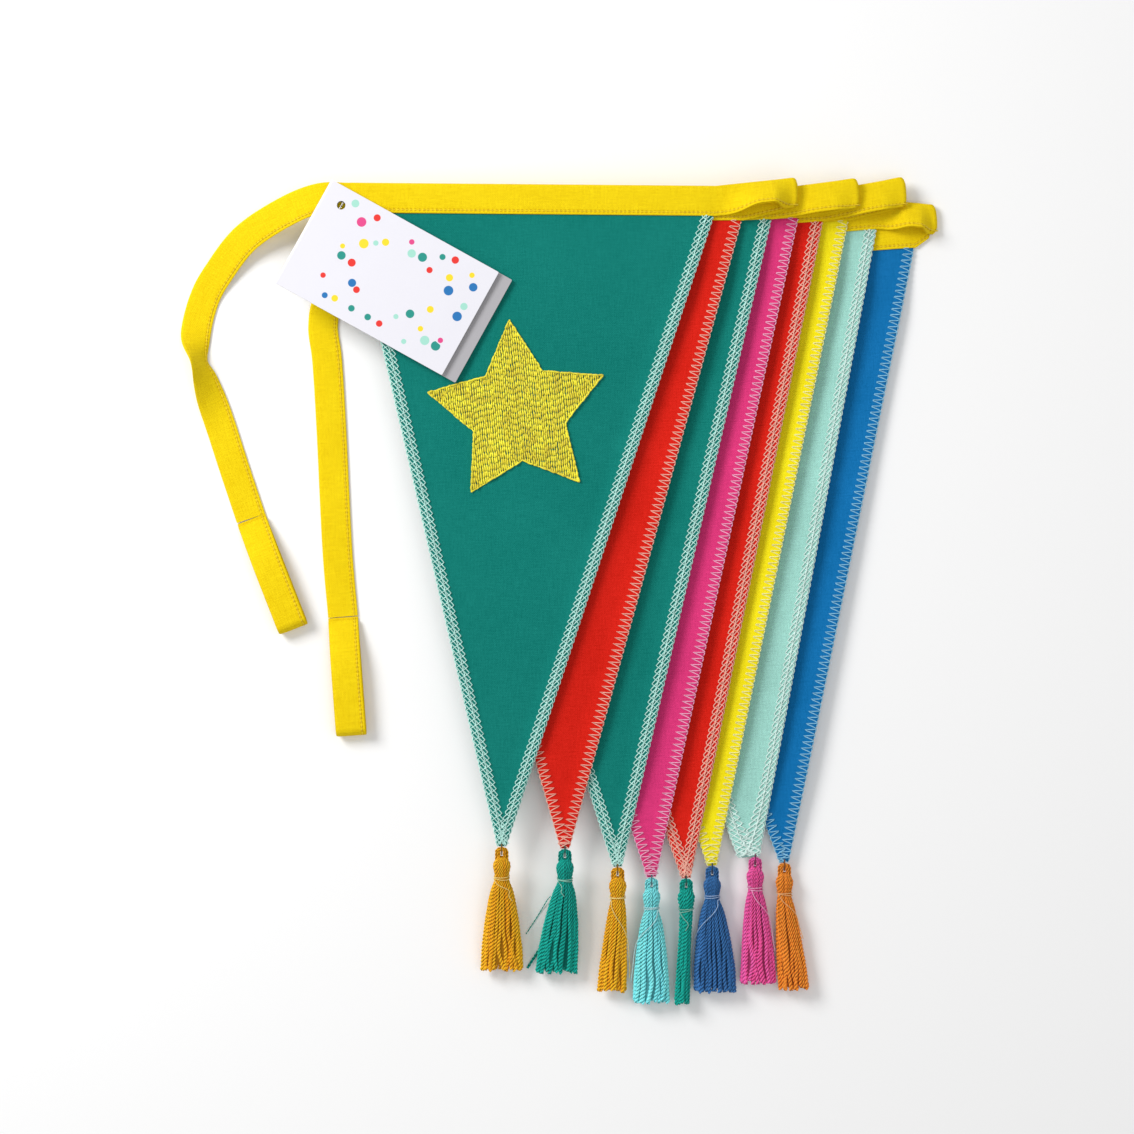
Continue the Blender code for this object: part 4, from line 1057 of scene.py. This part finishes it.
def twist_group():
    """Yarn routes spun from two plies that wind round each other."""
    sockets = [("Geometry", "Geometry"), ("Lay", "Float"), ("Step", "Float"),
               ("Material", "Material")]
    tree, inputs = group_tree("two_ply", sockets)
    curve = node(tree, "GeometryNodeMeshToCurve", {"Mesh": inputs["Geometry"]}).outputs[0]
    fine, length = resampled(tree, curve, inputs["Step"])
    at = node(tree, "GeometryNodeInputPosition").outputs[0]
    fine = noted(tree, fine, "middle", at, "FLOAT_VECTOR")
    off = vectors(tree, "DISTANCE", at, recalled(tree, "middle", "FLOAT_VECTOR"))
    thick = recalled(tree, "thick")
    height = maths(tree, "DIVIDE", off, thick)
    normal = node(tree, "GeometryNodeInputNormal").outputs[0]
    tangent = node(tree, "GeometryNodeInputTangent").outputs[0]
    other = vectors(tree, "CROSS_PRODUCT", tangent, normal)
    turns = maths(tree, "DIVIDE", length, inputs["Lay"])
    turns = maths(tree, "ADD", turns, recalled(tree, "phase"))
    parts = []
    for ply in (0.0, 0.5):
        angle = maths(tree, "MULTIPLY", maths(tree, "ADD", turns, ply), 2 * math.pi)
        sides = []
        for way, wave in ((normal, "COSINE"), (other, "SINE")):
            reach = maths(tree, "MULTIPLY", maths(tree, wave, angle), thick)
            reach = maths(tree, "MULTIPLY", reach, PLY_OFFSET)
            sides.append(vectors(tree, "SCALE", way, scale=reach))
        size = maths(tree, "MULTIPLY", thick, PLY_RADIUS)
        made = tube_of(tree, fine, vectors(tree, "ADD", *sides), size)
        # Each point's distance from the yarn's middle, which the yarn material turns into painted
        # shade between the plies
        parts.append(noted(tree, made, "height", height))
    finish_group(tree, parts, inputs["Material"])
    return tree


two_ply = twist_group()


def spun(name, lines, thick, lay, material, seed=0):
    """Yarn or thread along routes; thick is the yarn's radius, for each point or for all."""
    pick = np.random.default_rng(seed)
    if np.isscalar(thick):
        thick = [np.full(len(line), thick) for line in lines]
    phase = [np.full(len(line), pick.random()) for line in lines]
    tone = [np.full(len(line), pick.random()) for line in lines]
    base = wire_mesh(name, lines, thick=thick, phase=phase, tone=tone)
    values = {"Lay": lay, "Step": lay / 8.0, "Material": material}
    return grown(name, two_ply, values, base)


# The middle of each tassel's eye, and how far the tassel leans down to the table, in degrees
EYES = {
    1: ((-0.022927, -0.103096, 0.012399), 9.3855),
    2: ((0.002269, -0.104084, 0.011188), 7.9340),
    3: ((0.023351, -0.111390, 0.009949), 6.4578),
    4: ((0.036943, -0.115784, 0.008767), 5.0572),
    5: ((0.050808, -0.116213, 0.007611), 3.6922),
    6: ((0.061257, -0.111354, 0.006430), 2.3037),
    7: ((0.078543, -0.107884, 0.005227), 0.8930),
    8: ((0.090315, -0.110292, 0.004072), -0.4589),
}
# Each loop's thread, in its tassel's yarn colour darkened into painted shade
TIP_LOOP_SHADED_COLOURS = {1: (0.20, 0.10, 0.002), 2: (0.001, 0.08, 0.06), 3: (0.20, 0.10, 0.002),
                    4: (0.05, 0.17, 0.19), 5: (0.001, 0.08, 0.06), 6: (0.01, 0.04, 0.10),
                    7: (0.20, 0.02, 0.09), 8: (0.24, 0.07, 0.006)}


def make_tip_loop(leg):
    angle = np.linspace(0.0, 2 * math.pi, 33)
    ring = np.stack([0 * angle, np.cos(angle), np.sin(angle)], 1) * TIP_LOOP_RADIUS
    rings = [ring + (x, 0.0, 0.0) for x in (-0.00011, 0.00011)]
    material = thread_material(f"tip_thread_{leg}", TIP_LOOP_SHADED_COLOURS[leg])
    mesh = spun(f"tip_loop_thread_{leg}", rings, TIP_LOOP_THREAD, FINE_LAY, material, leg)
    mesh.transform(Matrix.Translation(EYES[leg][0]))
    piece = new_object(f"tip_loop_thread_{leg}", mesh)
    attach(piece, f"leg_{leg}")
    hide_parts(f"tip_loop_{leg}")


for each in LEGS:
    make_tip_loop(each)


# The tassels
# Each is a hank of two-ply cotton yarn, doubled over at its eye, bound at its neck and cut
# level at its hem. The strands part and wander a little, and their ends are uneven.
TASSEL_LENGTH = 0.0490
HEAD_RADIUS, NECK_RADIUS = 0.0038, 0.0028
SKIRT_WIDTH, SKIRT_DEPTH = 0.0090, 0.0039
SKIRT_FROM = 0.27
YARN = 0.00145
YARN_LAY = 0.0031
EYE_FOOT = -0.0012
EYE_YARN = 0.00042
# Shares of the length where the outer strands begin, where the shortest ends and how much
# further the longest goes, then the last two for the inner ones
HANK_TOP, HEM, UNEVEN = 0.068, 0.985, 0.035
INNER_HEM, INNER_UNEVEN = 0.972, 0.045
# The thinnest strand's radius, and how deep strands sink between others towards the hem
THINNEST, SUNK = 0.00030, 0.00045
# From where to where the inner yarn is one plain form, and how deep it lies under the outer
# strands, above the neck and below it
CORE_TOP, CORE_END = 0.075, 0.958
CORE_DEPTHS = 0.0008, 0.0015
# Down a tassel: the share of its length, then of the head's and the neck's radius and of
# the skirt's half width and half depth
TASSEL_ROWS = np.array([
    (0.066, 0.36, 0.00, 0.00, 0.00), (0.085, 0.74, 0.00, 0.00, 0.00),
    (0.125, 1.00, 0.00, 0.00, 0.00), (0.172, 0.92, 0.04, 0.00, 0.00),
    (0.196, 0.00, 1.00, 0.00, 0.00), (0.268, 0.00, 1.00, 0.00, 0.00),
    (0.300, 0.00, 0.70, 0.22, 0.38), (0.400, 0.00, 0.30, 0.50, 0.68),
    (0.600, 0.00, 0.00, 0.80, 0.97), (0.820, 0.00, 0.00, 0.95, 1.00),
    (1.020, 0.00, 0.00, 1.00, 0.97),
])
# Of each skirt: its width, and how far it hangs aside, as shares of its full half width
SKIRTS = {1: (1.00, 0.00), 2: (1.00, -0.38), 3: (0.71, -0.22), 4: (0.91, 0.00),
          5: (0.42, -0.20), 6: (1.02, 0.13), 7: (0.84, 0.13), 8: (0.75, 0.44)}
GOLD, TEAL_YARN = (1.0, 0.39, 0.010), (0.004, 0.36, 0.29)
YARN_COLOURS = {1: GOLD, 2: TEAL_YARN, 3: GOLD, 4: (0.20, 0.88, 0.98), 5: TEAL_YARN,
                6: (0.033, 0.14, 0.36), 7: (0.98, 0.094, 0.34), 8: (1.0, 0.25, 0.025)}


def tassel_outline(leg, down):
    """A tassel's half width, half depth and middle at shares down its length."""
    head, neck, wide, deep = [
        np.interp(down, TASSEL_ROWS[:, 0], TASSEL_ROWS[:, column]) for column in (1, 2, 3, 4)
    ]
    width, aside = SKIRTS[leg]
    core = HEAD_RADIUS * head + NECK_RADIUS * neck
    fallen = np.maximum(down - SKIRT_FROM, 0.0) / (1.0 - SKIRT_FROM)
    middle = SKIRT_WIDTH * aside * fallen
    return core + SKIRT_WIDTH * width * wide, core + SKIRT_DEPTH * deep, middle


def tassel_points(leg, down, angle, inside):
    """Points just inside a tassel's outline at shares down it and angles about it."""
    half, deep, middle = tassel_outline(leg, down)
    x = (half - inside) * np.cos(angle) + middle
    z = (deep - inside) * np.sin(angle)
    return np.stack(np.broadcast_arrays(x, -TASSEL_LENGTH * down, z), -1)


def evened(values, **ends):
    """Each value as the mean of the five about it."""
    return np.convolve(np.pad(values, 2, **ends), np.ones(5) / 5, "valid")


def tassel_strands(leg):
    """The outer strands' routes from the head's top to the hem, and their radii."""
    pick = np.random.default_rng(40 + leg)
    wide = SKIRT_WIDTH * SKIRTS[leg][0]
    count = round(2 * math.pi * math.hypot(wide, SKIRT_DEPTH) / math.sqrt(2) / YARN)
    lines, radii = [], []
    for i in range(count):
        down = np.linspace(HANK_TOP, HEM + UNEVEN * pick.random(), 56)
        loose = smooth(0.30, 0.95, down)
        start = 2 * math.pi * (i + 0.25 * pick.uniform(-1, 1)) / count
        stray = pick.uniform(-1, 1, 3)
        bend = stray[0] * np.sin(7 * down + 6 * stray[1]) + 0.7 * stray[2] * np.sin(17 * down)
        angle = start + loose * bend * 0.8 * 2 * math.pi / count
        half, deep, _ = tassel_outline(leg, down)
        girth = 2 * math.pi * np.hypot(half, deep) / math.sqrt(2) / count
        radius = np.clip(0.58 * girth, THINNEST, YARN * 0.56)
        radius = evened(radius, mode="edge")
        sunk = loose * SUNK * (1 + stray[1])
        line = tassel_points(leg, down, angle, radius + sunk)
        smoothed = [evened(axis, mode="reflect", reflect_type="odd") for axis in line.T]
        lines.append(np.stack(smoothed, 1))
        radii.append(radius * (1 + 0.12 * smooth(0.96, 1.0, down)))
    return lines, radii


def inner_ends(leg):
    """The cut ends of the inner strands, which show at the hem between the outer ones."""
    pick = np.random.default_rng(80 + leg)
    half, _, _ = tassel_outline(leg, 1.0)
    reach = half - 0.0024
    lines = []
    for x in np.linspace(-reach, reach, 1 + round(2 * reach / YARN)):
        for z in (-0.5, 0.5):
            down = np.linspace(0.93, INNER_HEM + INNER_UNEVEN * pick.random(), 8)
            wide, _, middle = tassel_outline(leg, down)
            aside, up = pick.uniform(-0.12, 0.12, 2) * YARN
            lines.append(np.stack([(x + aside) * wide / half + middle, -TASSEL_LENGTH * down,
                                   0 * down + z * YARN + up], 1))
    return lines, [np.full(8, YARN * 0.5) for _ in lines]


def eye_strands():
    """The doubled top of the hank: strands over the bar, with a slit for the thread loop."""
    lines, radii = [], []
    for spread, top, depth in ((0.00080, -0.00005, 0.00030), (0.00080, -0.00005, -0.00030),
                               (0.00150, 0.00012, 0.00038), (0.00150, 0.00012, -0.00038),
                               (0.00235, 0.00056, 0.0)):
        turn = np.radians(np.linspace(180.0, 0.0, 13))
        x, y = spread * np.cos(turn), EYE_FOOT + (top - EYE_FOOT) * np.sin(turn)
        arch = np.stack([x, y, 0 * x + depth], 1)
        foot = np.array([(spread, -0.0022, depth), (spread, -0.0050, depth * 2)])
        lines.append(np.concatenate([(foot * (-1, 1, 1))[::-1], arch, foot]))
        radii.append(np.full(len(lines[-1]), EYE_YARN))
    return lines, radii


def tassel_core(leg, material):
    """The hank's inner yarn, as plain forms under the outer strands and the eye's two sides."""
    down = np.linspace(CORE_TOP, CORE_END, 30)
    angle = np.linspace(0.0, 2 * math.pi, 24, endpoint=False)
    rings = [tassel_points(leg, at, angle, CORE_DEPTHS[int(at >= 0.3)]) for at in down]
    points = np.concatenate(rings)
    index = np.arange(len(points)).reshape(len(down), -1)
    after = np.roll(index, -1, axis=1)
    quads = np.stack([index[:-1], after[:-1], after[1:], index[1:]], -1).reshape(-1, 4)
    mesh = bpy.data.meshes.new(f"tassel_core_{leg}")
    ends = [index[0, ::-1].tolist(), index[-1].tolist()]
    mesh.from_pydata(points.tolist(), [], quads.tolist() + ends)
    form = bmesh.new()
    form.from_mesh(mesh)
    for middle, size in (((-0.00150, -0.0023, 0.0), (0.00085, 0.0024, 0.00060)),
                         ((0.00150, -0.0023, 0.0), (0.00085, 0.0024, 0.00060)),
                         ((0.0, -0.0040, 0.0), (0.00110, 0.00135, 0.00075))):
        shape = Matrix.Translation(middle) @ Matrix.Diagonal((*size, 1.0))
        bmesh.ops.create_uvsphere(form, u_segments=12, v_segments=8, radius=1.0, matrix=shape)
    bmesh.ops.recalc_face_normals(form, faces=form.faces)
    form.to_mesh(mesh)
    form.free()
    mesh.materials.append(material)
    return mesh


def yarn_material(name, colour):
    """Soft cotton yarn: fine fibres, a tone of its own per strand, and painted shade between the
    plies.
    """
    made, tree, shader = blank_material(
        name, Roughness=0.85, Specular_IOR_Level=0.12, Sheen_Weight=0.25, Sheen_Roughness=0.4,
        Sheen_Tint=(*[0.3 + 0.7 * part for part in colour], 1.0))
    at = node(tree, "ShaderNodeTexCoord").outputs["Object"]
    fibres = noise(tree, at, 2600.0, 3.0)
    tone = node(tree, "ShaderNodeAttribute", attribute_name="tone").outputs["Fac"]
    shade = maths(tree, "MULTIPLY_ADD", tone, 0.35, fibres)
    paint = dyed(tree, shade, colour, (0.42, 0.92), 0.90, 1.50, 0.01)
    # Painted shade: darker where the surface lies close to the yarn's middle, in the crevices
    # between the plies
    height = node(tree, "ShaderNodeAttribute", attribute_name="height").outputs["Fac"]
    crevice_shade = node(tree, "ShaderNodeMapRange", {0: height, 1: 0.45, 2: 0.92, 3: 0.34, 4: 1.0})
    paint = vectors(tree, "SCALE", paint, scale=crevice_shade.outputs[0])
    surface(tree, shader, paint, fibres, 0.0001, 0.7)
    return made


# Where strands stray from the second tassel across the table, and their radii
STRAYS = {2: [([(-0.0035, -0.1228, 0.0040), (-0.0052, -0.1252, 0.0012),
                (-0.0080, -0.1300, 0.0004), (-0.0108, -0.1345, 0.0004),
                (-0.0134, -0.1384, 0.0004)], 0.00022),
              ([(-0.0055, -0.1400, 0.0020), (-0.0082, -0.1447, 0.0009),
                (-0.0104, -0.1482, 0.0008), (-0.0128, -0.1520, 0.0008)], 0.00060)]}


def tassel_place(leg):
    at, lean = EYES[leg]
    return Matrix.Translation(at) @ Matrix.Rotation(math.radians(lean), 4, "X")


def make_tassel(leg):
    material = yarn_material(f"tassel_yarn_{leg}", YARN_COLOURS[leg])
    (lines, radii), (eye_lines, eye_radii) = tassel_strands(leg), eye_strands()
    back = tassel_place(leg).inverted()
    for points, radius in STRAYS.get(leg, []):
        route = smooth_route(points, 8)
        lines.append(carried(route, back))
        radii.append(np.full(len(route), radius))
    name = f"tassel_yarn_{leg}"
    end_lines, end_radii = inner_ends(leg)
    lines, radii = lines + eye_lines + end_lines, radii + eye_radii + end_radii
    yarn = spun(name, lines, radii, YARN_LAY, material, leg)
    mesh = joined(name, yarn, tassel_core(leg, material))
    mesh.transform(tassel_place(leg))
    piece = new_object(name, mesh)
    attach(piece, f"tassel_{leg}_swing")
    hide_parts(f"tassel_{leg}")


for each in LEGS:
    make_tassel(each)


# The bindings at the tassels' necks
# A pale sewing thread, wound a few times round each neck and knotted. One end runs slanting
# over the shoulder and down among the strands.
BINDING_THREAD = 0.00017
BINDING_TURNS = 2.0
# The share of the tassel's length where a binding begins, and how far down its turns reach
BINDING_FROM, BINDING_REACH = 0.218, 0.026
# Of each binding: where its loose end leaves the neck, how far round and how far down the
# tassel it runs
LOOSE_ENDS = {1: (200, -150, 0.42), 2: (160, -60, 0.36), 3: (165, -150, 0.90),
              4: (20, 160, 0.85), 5: (150, -70, 0.40), 6: (25, 165, 0.92),
              7: (130, -125, 0.75), 8: (150, -130, 0.60)}
BINDING_COLOURS = {1: (0.95, 0.70, 0.20), 2: (0.30, 0.62, 0.50), 3: (0.95, 0.72, 0.25),
                   4: (0.55, 0.82, 0.86), 5: (0.25, 0.55, 0.45), 6: (0.35, 0.52, 0.78),
                   7: (0.93, 0.45, 0.68), 8: (0.95, 0.50, 0.20)}


def make_neck_binding(leg):
    start, sweep_by, deep = LOOSE_ENDS[leg]
    turns = np.linspace(0.0, 1.0, 70)
    round_neck = math.radians(start) + 2 * math.pi * BINDING_TURNS * (turns - 1)
    slant = 0.012 * np.sin(round_neck + leg) * smooth(0.3, 1.0, turns)
    down = BINDING_FROM + BINDING_REACH * turns + slant
    wound = tassel_points(leg, down, round_neck, -1.6 * BINDING_THREAD)
    run = np.linspace(0.0, 1.0, 60)[1:]
    angle = math.radians(start) + math.radians(sweep_by) * smooth(-0.15, 0.62, run)
    angle += math.radians(10) * np.sin(9 * run + leg) * run
    begin = BINDING_FROM + BINDING_REACH + slant[-1]
    loose = tassel_points(leg, begin + (deep - begin) * run, angle, -2 * BINDING_THREAD)
    material = thread_material(f"binding_thread_{leg}", BINDING_COLOURS[leg])
    name = f"neck_thread_{leg}"
    line = np.concatenate([wound, loose])
    mesh = spun(name, [line], 1.15 * BINDING_THREAD, FINE_LAY, material, leg)
    mesh.transform(tassel_place(leg))
    piece = new_object(name, mesh)
    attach(piece, f"tassel_{leg}_swing")
    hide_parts(f"neck_binding_{leg}")


for each in LEGS:
    make_neck_binding(each)


# The card tag
# A card of 0.4 mm folded once into two leaves, with a hole punched through both near the
# crease. The front leaf is a little shorter and has a print of scattered dots.
PIN_AT = (-0.08644, 0.15274)
CARD_TURN = math.radians(-29.0)
# The card lies about its hole: its left, top and bottom edges, then its leaves' lengths, its
# corners' and its hole's radius, and the leaves' levels and thickness
CARD_LEFT, CARD_TOP, CARD_BOTTOM = -0.0074, 0.0071, -0.0396
BACK_LENGTH, FRONT_LENGTH, CARD_CORNER, CARD_HOLE = 0.0810, 0.0750, 0.0005, 0.0017
BACK_LEVEL, FRONT_LEVEL, CARD = 0.017143, 0.018863, 0.0004
# The back leaf's grey is painted shade, for the shadow that the front leaf casts into the fold
CARD_WHITE, CARD_SHADED = (0.80, 0.79, 0.85), (0.42, 0.41, 0.43)
# The printed field's and its bare middle's limits along and across the card
PRINTED = (0.0045, 0.0645), (-0.0365, 0.0040)
BARE = (0.0190, 0.0490), (-0.0235, -0.0095)
DOT_COLOURS = [(0.80, 0.02, 0.01), (1.0, 0.70, 0.01), (0.0, 0.28, 0.23), (0.76, 0.05, 0.24),
               (0.0, 0.16, 0.46), (0.36, 0.72, 0.60)]


def card_coordinates(tree):
    """Metres along and across the card from its hole."""
    at = node(tree, "ShaderNodeTexCoord").outputs["Object"]
    turned = {"Vector": vectors(tree, "SUBTRACT", at, (*PIN_AT, 0.0)), "Angle": -CARD_TURN}
    level = node(tree, "ShaderNodeVectorRotate", turned, rotation_type="Z_AXIS")
    return level.outputs[0], node(tree, "ShaderNodeSeparateXYZ", {0: level.outputs[0]}).outputs


def span(tree, value, low, high, soft=0.0001):
    """1 where a value lies between two limits."""
    above = node(tree, "ShaderNodeMapRange", {0: value, 1: low - soft, 2: low + soft})
    below = node(tree, "ShaderNodeMapRange", {0: value, 1: high + soft, 2: high - soft})
    return maths(tree, "MULTIPLY", above.outputs[0], below.outputs[0])


def card_material(name, colour, printed):
    """Smooth card with a faint mottle, white or grey in painted shade; the front leaf has printed
    confetti.
    """
    made, tree, shader = blank_material(name, Roughness=0.55)
    place, axes = card_coordinates(tree)
    mottle = noise(tree, place, 90.0, 3.0)
    paint = dyed(tree, mottle, colour, (0.0, 1.0), 0.97, 1.0)
    if printed:
        paint = confetti(tree, paint, place, axes)
    surface(tree, shader, paint, noise(tree, place, 2500.0, 2.0), 0.00001)
    return made


def confetti(tree, paint, place, axes):
    """Dots of several colours scattered round the bare middle of the card's upper face."""
    cells = node(tree, "ShaderNodeTexVoronoi", {"Vector": place, "Scale": 140.0})
    cells.voronoi_dimensions = "2D"
    cells.inputs["Randomness"].default_value = 0.75
    pick = node(tree, "ShaderNodeSeparateColor", {0: cells.outputs["Color"]}).outputs
    size = maths(tree, "MULTIPLY_ADD", pick[1], 0.14, 0.14)
    dot = node(tree, "ShaderNodeMapRange", {0: cells.outputs["Distance"]})
    tree.links.new(size, dot.inputs[1])
    tree.links.new(maths(tree, "SUBTRACT", size, 0.02), dot.inputs[2])
    inks = node(tree, "ShaderNodeValToRGB", {"Fac": pick[0]})
    inks.color_ramp.interpolation = "CONSTANT"
    steps = inks.color_ramp.elements
    for i in range(len(DOT_COLOURS)):
        step = steps[i] if i < 2 else steps.new(i / len(DOT_COLOURS))
        step.position = i / len(DOT_COLOURS)
    for step, ink in zip(steps, DOT_COLOURS):
        step.color = (*ink, 1.0)
    centre = node(tree, "ShaderNodeSeparateXYZ", {0: cells.outputs["Position"]}).outputs
    whole, middle = [
        maths(tree, "MULTIPLY", *[span(tree, centre[axis], *field[axis]) for axis in (0, 1)])
        for field in (PRINTED, BARE)
    ]
    upper = maths(tree, "GREATER_THAN", axes[2], FRONT_LEVEL + 0.4 * CARD)
    mask = maths(tree, "MULTIPLY", whole, maths(tree, "SUBTRACT", 1.0, middle))
    mask = maths(tree, "MULTIPLY", maths(tree, "MULTIPLY", mask, upper), dot.outputs[0])
    return mixed(tree, mask, paint, inks.outputs["Color"])


def leaf_outline(length, width):
    """A leaf's corners, softened by half a millimetre at its free side."""
    right, bottom = CARD_LEFT + length, CARD_TOP - width
    points = [(CARD_LEFT, bottom)]
    for x, y, start in ((right, bottom, -90.0), (right, CARD_TOP, 0.0)):
        inward = np.sign(CARD_TOP - width / 2 - y)
        for turn in np.radians(np.linspace(start, start + 90.0, 5)):
            points.append((x - CARD_CORNER * (1 - math.cos(turn)),
                           y + CARD_CORNER * (inward + math.sin(turn))))
    return points + [(CARD_LEFT, CARD_TOP)]


def make_leaf(name, length, level, material, node_name, body):
    """A leaf with its punched hole, as a filled outline with slightly softened edges."""
    hole = [(CARD_HOLE * math.cos(t), CARD_HOLE * math.sin(t))
            for t in np.linspace(0.0, 2 * math.pi, 40, endpoint=False)]
    flat = bpy.data.curves.new(name, "CURVE")
    flat.dimensions, flat.fill_mode = "2D", "BOTH"
    flat.extrude, flat.bevel_depth, flat.bevel_resolution = 0.4 * CARD, 0.1 * CARD, 1
    flat.offset = -0.1 * CARD
    for points in (leaf_outline(length, CARD_TOP - CARD_BOTTOM), hole):
        line = flat.splines.new("POLY")
        line.points.add(len(points) - 1)
        line.use_cyclic_u = True
        for point, (x, y) in zip(line.points, points):
            point.co = (x, y, 0.0, 1.0)
    mesh = plain_mesh(new_object(name, flat))
    face_outward(mesh, merge=0.000005)
    mesh.transform(Matrix.Translation((*PIN_AT, level)) @ Matrix.Rotation(CARD_TURN, 4, "Z"))
    mesh.materials.clear()
    mesh.materials.append(material)
    piece = new_object(name, mesh)
    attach(piece, body)
    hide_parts(node_name)


def make_crease(material):
    """The bent strip between the leaves' left edges."""
    middle, reach = (BACK_LEVEL + FRONT_LEVEL) / 2, (FRONT_LEVEL - BACK_LEVEL) / 2
    angle = np.radians(np.linspace(90.0, 270.0, 13))
    skins = []
    for radius in (reach + CARD / 2, reach - CARD / 2):
        x = CARD_LEFT + radius * np.cos(angle)
        z = middle + radius * np.sin(angle)
        rows = [np.stack([x, np.full_like(x, y), z], 1) for y in (CARD_TOP, CARD_BOTTOM)]
        skins.append(np.stack(rows))
    uv = np.stack(np.broadcast_arrays(angle[None, :] * reach, [[CARD_TOP], [CARD_BOTTOM]]), -1)
    mesh = slab("card_crease", skins[0], skins[1], uv)
    mesh.set_sharp_from_angle(angle=SHARP)
    mesh.transform(Matrix.Translation((*PIN_AT, 0.0)) @ Matrix.Rotation(CARD_TURN, 4, "Z"))
    face_outward(mesh)
    mesh.materials.append(material)
    piece = new_object("card_crease", mesh)
    x, y = [PIN_AT[i] + CARD_LEFT * (math.cos(CARD_TURN), math.sin(CARD_TURN))[i] for i in (0, 1)]
    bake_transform(piece)


def make_card():
    # The back leaf is painted grey as shade under the front leaf
    inner = card_material("card_inside_shaded", CARD_SHADED, False)
    outer = card_material("card_print", CARD_WHITE, True)
    make_leaf("card_back", BACK_LENGTH, BACK_LEVEL, inner, "tag_back_leaf", "tag_back")
    make_leaf("card_front", FRONT_LENGTH, FRONT_LEVEL, outer, "tag_front_leaf", "tag_front")
    make_crease(outer)


make_card()


# The card's pin
# A clear nylon fastener shot through the card's hole and the tape: a thin shank with a bar
# across each end.
PIN_HAZE = (0.12, 0.30)


def make_pin():
    nylon, tree, shader = blank_material("clear_nylon", IOR=1.53, Transmission_Weight=0.85)
    at = node(tree, "ShaderNodeTexCoord").outputs["Object"]
    haze = {0: noise(tree, at, 900.0, 2.0), 3: PIN_HAZE[0], 4: PIN_HAZE[1]}
    rough = node(tree, "ShaderNodeMapRange", haze)
    tree.links.new(rough.outputs[0], shader.inputs["Roughness"])
    pin = bpy.data.objects["tag_pin"]
    pin.data.materials.clear()
    pin.data.materials.append(nylon)


make_pin()


# The sizes
# The box of the solids and the box of the finished model, in metres.


def plain(box):
    """A box as lists of plain numbers."""
    if isinstance(box, dict):
        return {key: plain(value) for key, value in box.items()}
    if hasattr(box, "__len__"):
        return [plain(value) for value in box]
    return float(box)


{"cad": plain(cad_box), "scene": plain(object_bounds())}
